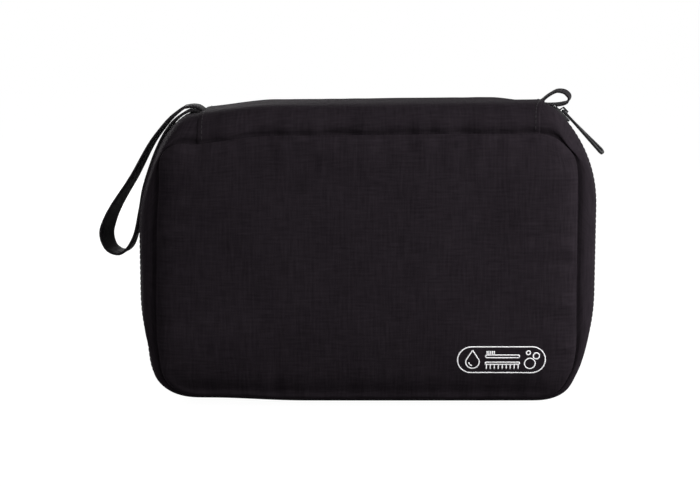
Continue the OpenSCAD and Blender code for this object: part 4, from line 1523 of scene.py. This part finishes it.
# %% Stitch rows
STITCH_PITCH = 0.0029
STITCH_SIZE = {"Length": 0.0025, "Width": 0.00050, "Height": 0.00042}
RAY_BACK = 0.008
HEM_STITCHES = (HEM_STITCH, 0.0014)
HEM_FINE, HEM_SKIP = 6, 8


def skin_of(piece):
    faces = [tuple(face.vertices) for face in piece.data.polygons]
    return BVHTree.FromPolygons([tuple(p) for p in coords(piece)], faces)


def sew(name, piece, line, facing):
    """A row of stitches along a line, dropped on to a piece against the way that it faces."""
    skin = skin_of(piece)
    length = run_length(line)
    both = np.hstack([line, np.broadcast_to(facing, np.shape(line))])
    hits = []
    for row in sample(both, length, np.arange(STITCH_PITCH / 2, length[-1], STITCH_PITCH)):
        p, way = row[:3], row[3:]
        place, normal, _, _ = skin.ray_cast(Vector(p + way * RAY_BACK), Vector(-way), 2 * RAY_BACK)
        if place is not None:
            hits.append((*place, *normal))
    hits = np.array(hits)
    ways = np.gradient(hits[:, :3], axis=0)
    return make_row(name, hits[:, :3], ways, hits[:, 3:], THREAD, **STITCH_SIZE)


def hem_line(side, off):
    """A line along the zip, off from the gusset's edge, and the way it faces."""
    stops = walk(zip_run(rim(0)), [HEM_FINE * n for n in RUN_COUNTS])[HEM_SKIP:-HEM_SKIP]
    return settled(at_depth(stops, ZIP_Y + side * (ZIP_REVEAL + off))), outward_at(stops[:, 2])


for side, body, end in HALVES:
    rows = [sew("hem_%s_%d" % (end, i), gussets[side], *hem_line(side, off))
            for i, off in enumerate(HEM_STITCHES)]
    dress(join("hem_stitches_" + end, rows), body, "shell_cloth")

# %% [markdown]
# The rows at the top panel's ends cross the fold. Those of the pockets are straight.

# %% Top panel and pocket stitches
POCKET_EDGE, ELASTIC_EDGE = 0.002, 0.001
BINDING_EDGE, BINDING_END = 0.0012, 0.001


def end_rows():
    section = top_section()[2:-2]
    normals = section_normals(section)
    facing = np.column_stack([np.zeros(len(normals)), normals])
    rows = []
    for i, x in enumerate((np.full(len(section), -STITCH_X), right_end(section[:, 0]))):
        rows.append(sew("top_row_%d" % i, top_panel, settled(np.column_stack([x, section])), facing))
    return join("top_panel_stitches", rows)


def u_line(half, low, high, depth):
    """Down one side, along the foot and up the other side."""
    return at_depth(np.array([(-half, high), (-half, low), (half, low), (half, high)]), depth)


top_rows = end_rows()
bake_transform(top_rows)
print(top_rows.name, triangles(top_rows), "triangles")
pocket_line = u_line(POCKET_HALF - POCKET_EDGE, POCKET_LOW + POCKET_EDGE,
                     POCKET_LOW + POCKET_TALL - ELASTIC_WIDE - ELASTIC_EDGE, WALL_Y[MAIN] - POCKET_EDGE)
dress(sew("pocket_stitches", pocket, pocket_line, (0.0, -1.0, 0.0)), "main", "lining")
binding_line = u_line(NET_WIDE / 2 - BINDING_WIDE + BINDING_EDGE, NET_LOW + BINDING_WIDE - BINDING_EDGE,
                      NET_LOW + NET_TALL - BINDING_END, BINDING_Y)
dress(sew("binding_stitches", binding, binding_line, (0.0, 1.0, 0.0)), "lid", "webbing")

# %% [markdown]
# Print
#
# A small white line drawing sits at the lower right of the front: a water drop, a toothbrush over a
# comb, and a few bubbles in a long rounded frame. It is screen-printed, so it lies on the cloth and
# follows it. Each stroke is a narrow ribbon along a line on the flat panel. Rays carry its points on to
# the finished cloth, and a little thickness keeps the ink just proud of it.

# %% Print
PRINT_AT = np.array([0.0713, 0.0290])
STROKE, STROKE_STEP = 0.00062, 0.0005
INK_PROUD, INK_THICK, INK_FROM_Y = 0.00012, 0.0002, -0.1
COMB_TEETH = 9


def arc(x, y, r, start, end, squash=1.0):
    turns = np.radians(np.linspace(start, end, 2 + int(abs(end - start) / 12)))
    return np.column_stack([x + r * np.cos(turns), y + r * squash * np.sin(turns)])


def capsule(x0, x1, y, r):
    """A long rounded outline from x0 to x1."""
    return np.vstack([arc(x1 - r, y, r, -90, 90), arc(x0 + r, y, r, 90, 270), [(x1 - r, y - r)]])


def print_strokes():
    """Lines of the drawing in millimetres about its middle."""
    drop = np.vstack([[(-15.5, 5.4)], arc(-15.5, -1.2, 3.6, 25, -205), [(-15.5, 5.4)]])
    shine = arc(-15.5, -1.2, 2.0, 185, 265)
    brush = capsule(-8.6, 9.6, 2.0, 0.75)
    bristles = [np.array([(-7.8 + k * 0.95, 2.9), (-7.8 + k * 0.95, 5.0)]) for k in range(5)]
    comb = np.array([(-8.6, -1.3), (9.6, -1.3), (9.6, -2.5), (-8.6, -2.5), (-8.6, -1.3)])
    teeth = [np.array([(x, -2.5), (x, -5.2)]) for x in np.linspace(-8.0, 9.0, COMB_TEETH)]
    bubbles = [arc(15.2, -2.0, 2.9, 0, 360), arc(18.6, 2.2, 1.7, 0, 360), arc(14.3, 4.0, 1.1, 0, 360)]
    return [capsule(-23.5, 23.5, 0.0, 7.3), drop, shine, brush, comb] + bristles + teeth + bubbles


def ribbon(line):
    """Left and right edges of a stroke along a line of x and z."""
    length = run_length(line)
    middle = sample(line, length, np.linspace(0, length[-1], max(3, int(length[-1] / STROKE_STEP))))
    way = unit(np.gradient(middle, axis=0))
    side = np.column_stack([-way[:, 1], way[:, 0]]) * STROKE / 2
    return np.stack([middle - side, middle + side])


def make_print():
    skin = skin_of(panels[LID])
    points, faces = [], []
    for line in print_strokes():
        edges = ribbon(PRINT_AT + line * MM)
        first = len(points)
        for x, z in edges.reshape(-1, 2):
            place = skin.ray_cast(Vector((x, INK_FROM_Y, z)), Vector((0, 1, 0)))[0]
            points.append((x, place.y - INK_PROUD, z))
        faces += [tuple(first + i for i in f) for f in grid_faces(2, edges.shape[1])]
    points = np.array(points)
    piece = add_piece("front_print", points, faces, points[:, [0, 2]], INK)
    return thicken(face_out(piece), INK_THICK, 0)


dress(make_print(), "lid", "shell_cloth")

# %% [markdown]
# Light and floor
#
# The bag stands on a white floor against white, under soft light. A large lamp on the upper right
# gives the cloth its direction, a weaker one on the left keeps the dark side open, a small one far to
# the right picks out the edges, one above lights the top and one behind lights the back. The world is a
# pale grey for the light it gives, but the camera sees it as white. The floor adds a little glow of its
# own for the camera only, so that it is white too and still shows the bag's shadow.

# %% Lamps, world and floor
LAMPS = {
    "key": ((0.610, -0.400, 0.36), 0.45, 9.2),
    "fill": ((-0.78, -0.78, 0.64), 0.8, 4.7),
    "side": ((0.75, -0.12, 0.22), 0.35, 1.1),
    "top": ((0.10, 0.10, 1.1), 0.7, 0.3),
    "back": ((-0.40, 1.00, 0.24), 0.8, 12.0),
}
LAMP_AIM = Vector((0.0, 0.0, 0.08))
WORLD_LIGHT = 0.25
WHITE = (1, 1, 1, 1)
FLOOR_SIZE, FLOOR_Z = 6.0, -0.0004
FLOOR_GREY, FLOOR_GLOW = (0.1, 0.1, 0.1, 1), 0.975


def add_lamp(name, place, size, power):
    data = bpy.data.lights.new(name, "AREA")
    data.size = size
    data.energy = power
    lamp = add_object(name, data)
    lamp.location = place
    lamp.rotation_euler = (LAMP_AIM - Vector(place)).to_track_quat("-Z", "Y").to_euler()


def seen_share(tree):
    """1 for rays that show the background: straight, mirrored or through glass."""
    path = tree.nodes.new("ShaderNodeLightPath").outputs
    total = path["Is Camera Ray"]
    for name in ("Is Glossy Ray", "Is Transmission Ray"):
        either = add_node(tree, "ShaderNodeMath", {"operation": "MAXIMUM"}, {0: total, 1: path[name]})
        total = either.outputs[0]
    return total


def light_world():
    world = bpy.data.worlds.new("world")
    bpy.context.scene.world = world
    world.use_nodes = True
    tree = world.node_tree
    ground = tree.nodes["Background"].inputs
    ground["Color"].default_value = WHITE
    strength = add_node(tree, "ShaderNodeMix", {}, {"Factor": seen_share(tree), "A": WORLD_LIGHT, "B": 1.0})
    tree.links.new(strength.outputs["Result"], ground["Strength"])


def add_floor():
    half = FLOOR_SIZE / 2
    mesh = bpy.data.meshes.new("floor")
    corners = [(x * half, y * half, FLOOR_Z) for x, y in ((-1, -1), (1, -1), (1, 1), (-1, 1))]
    mesh.from_pydata(corners, [], [(0, 1, 2, 3)])
    paint = Finish("floor", Roughness=0.9, Specular_IOR_Level=0.0, Base_Color=FLOOR_GREY,
                   Emission_Color=WHITE)
    glow = add_node(paint.tree, "ShaderNodeMath", {"operation": "MULTIPLY"},
                    {0: seen_share(paint.tree), 1: FLOOR_GLOW})
    paint.tree.links.new(glow.outputs[0], paint.shader.inputs["Emission Strength"])
    mesh.materials.append(paint.material)
    add_object("floor", mesh)


for lamp_name, (place, size, power) in LAMPS.items():
    add_lamp(lamp_name, place, size, power)
light_world()
add_floor()
bpy.context.scene.view_settings.view_transform = "Standard"
print("stage:", len(LAMPS), "lamps and a floor")
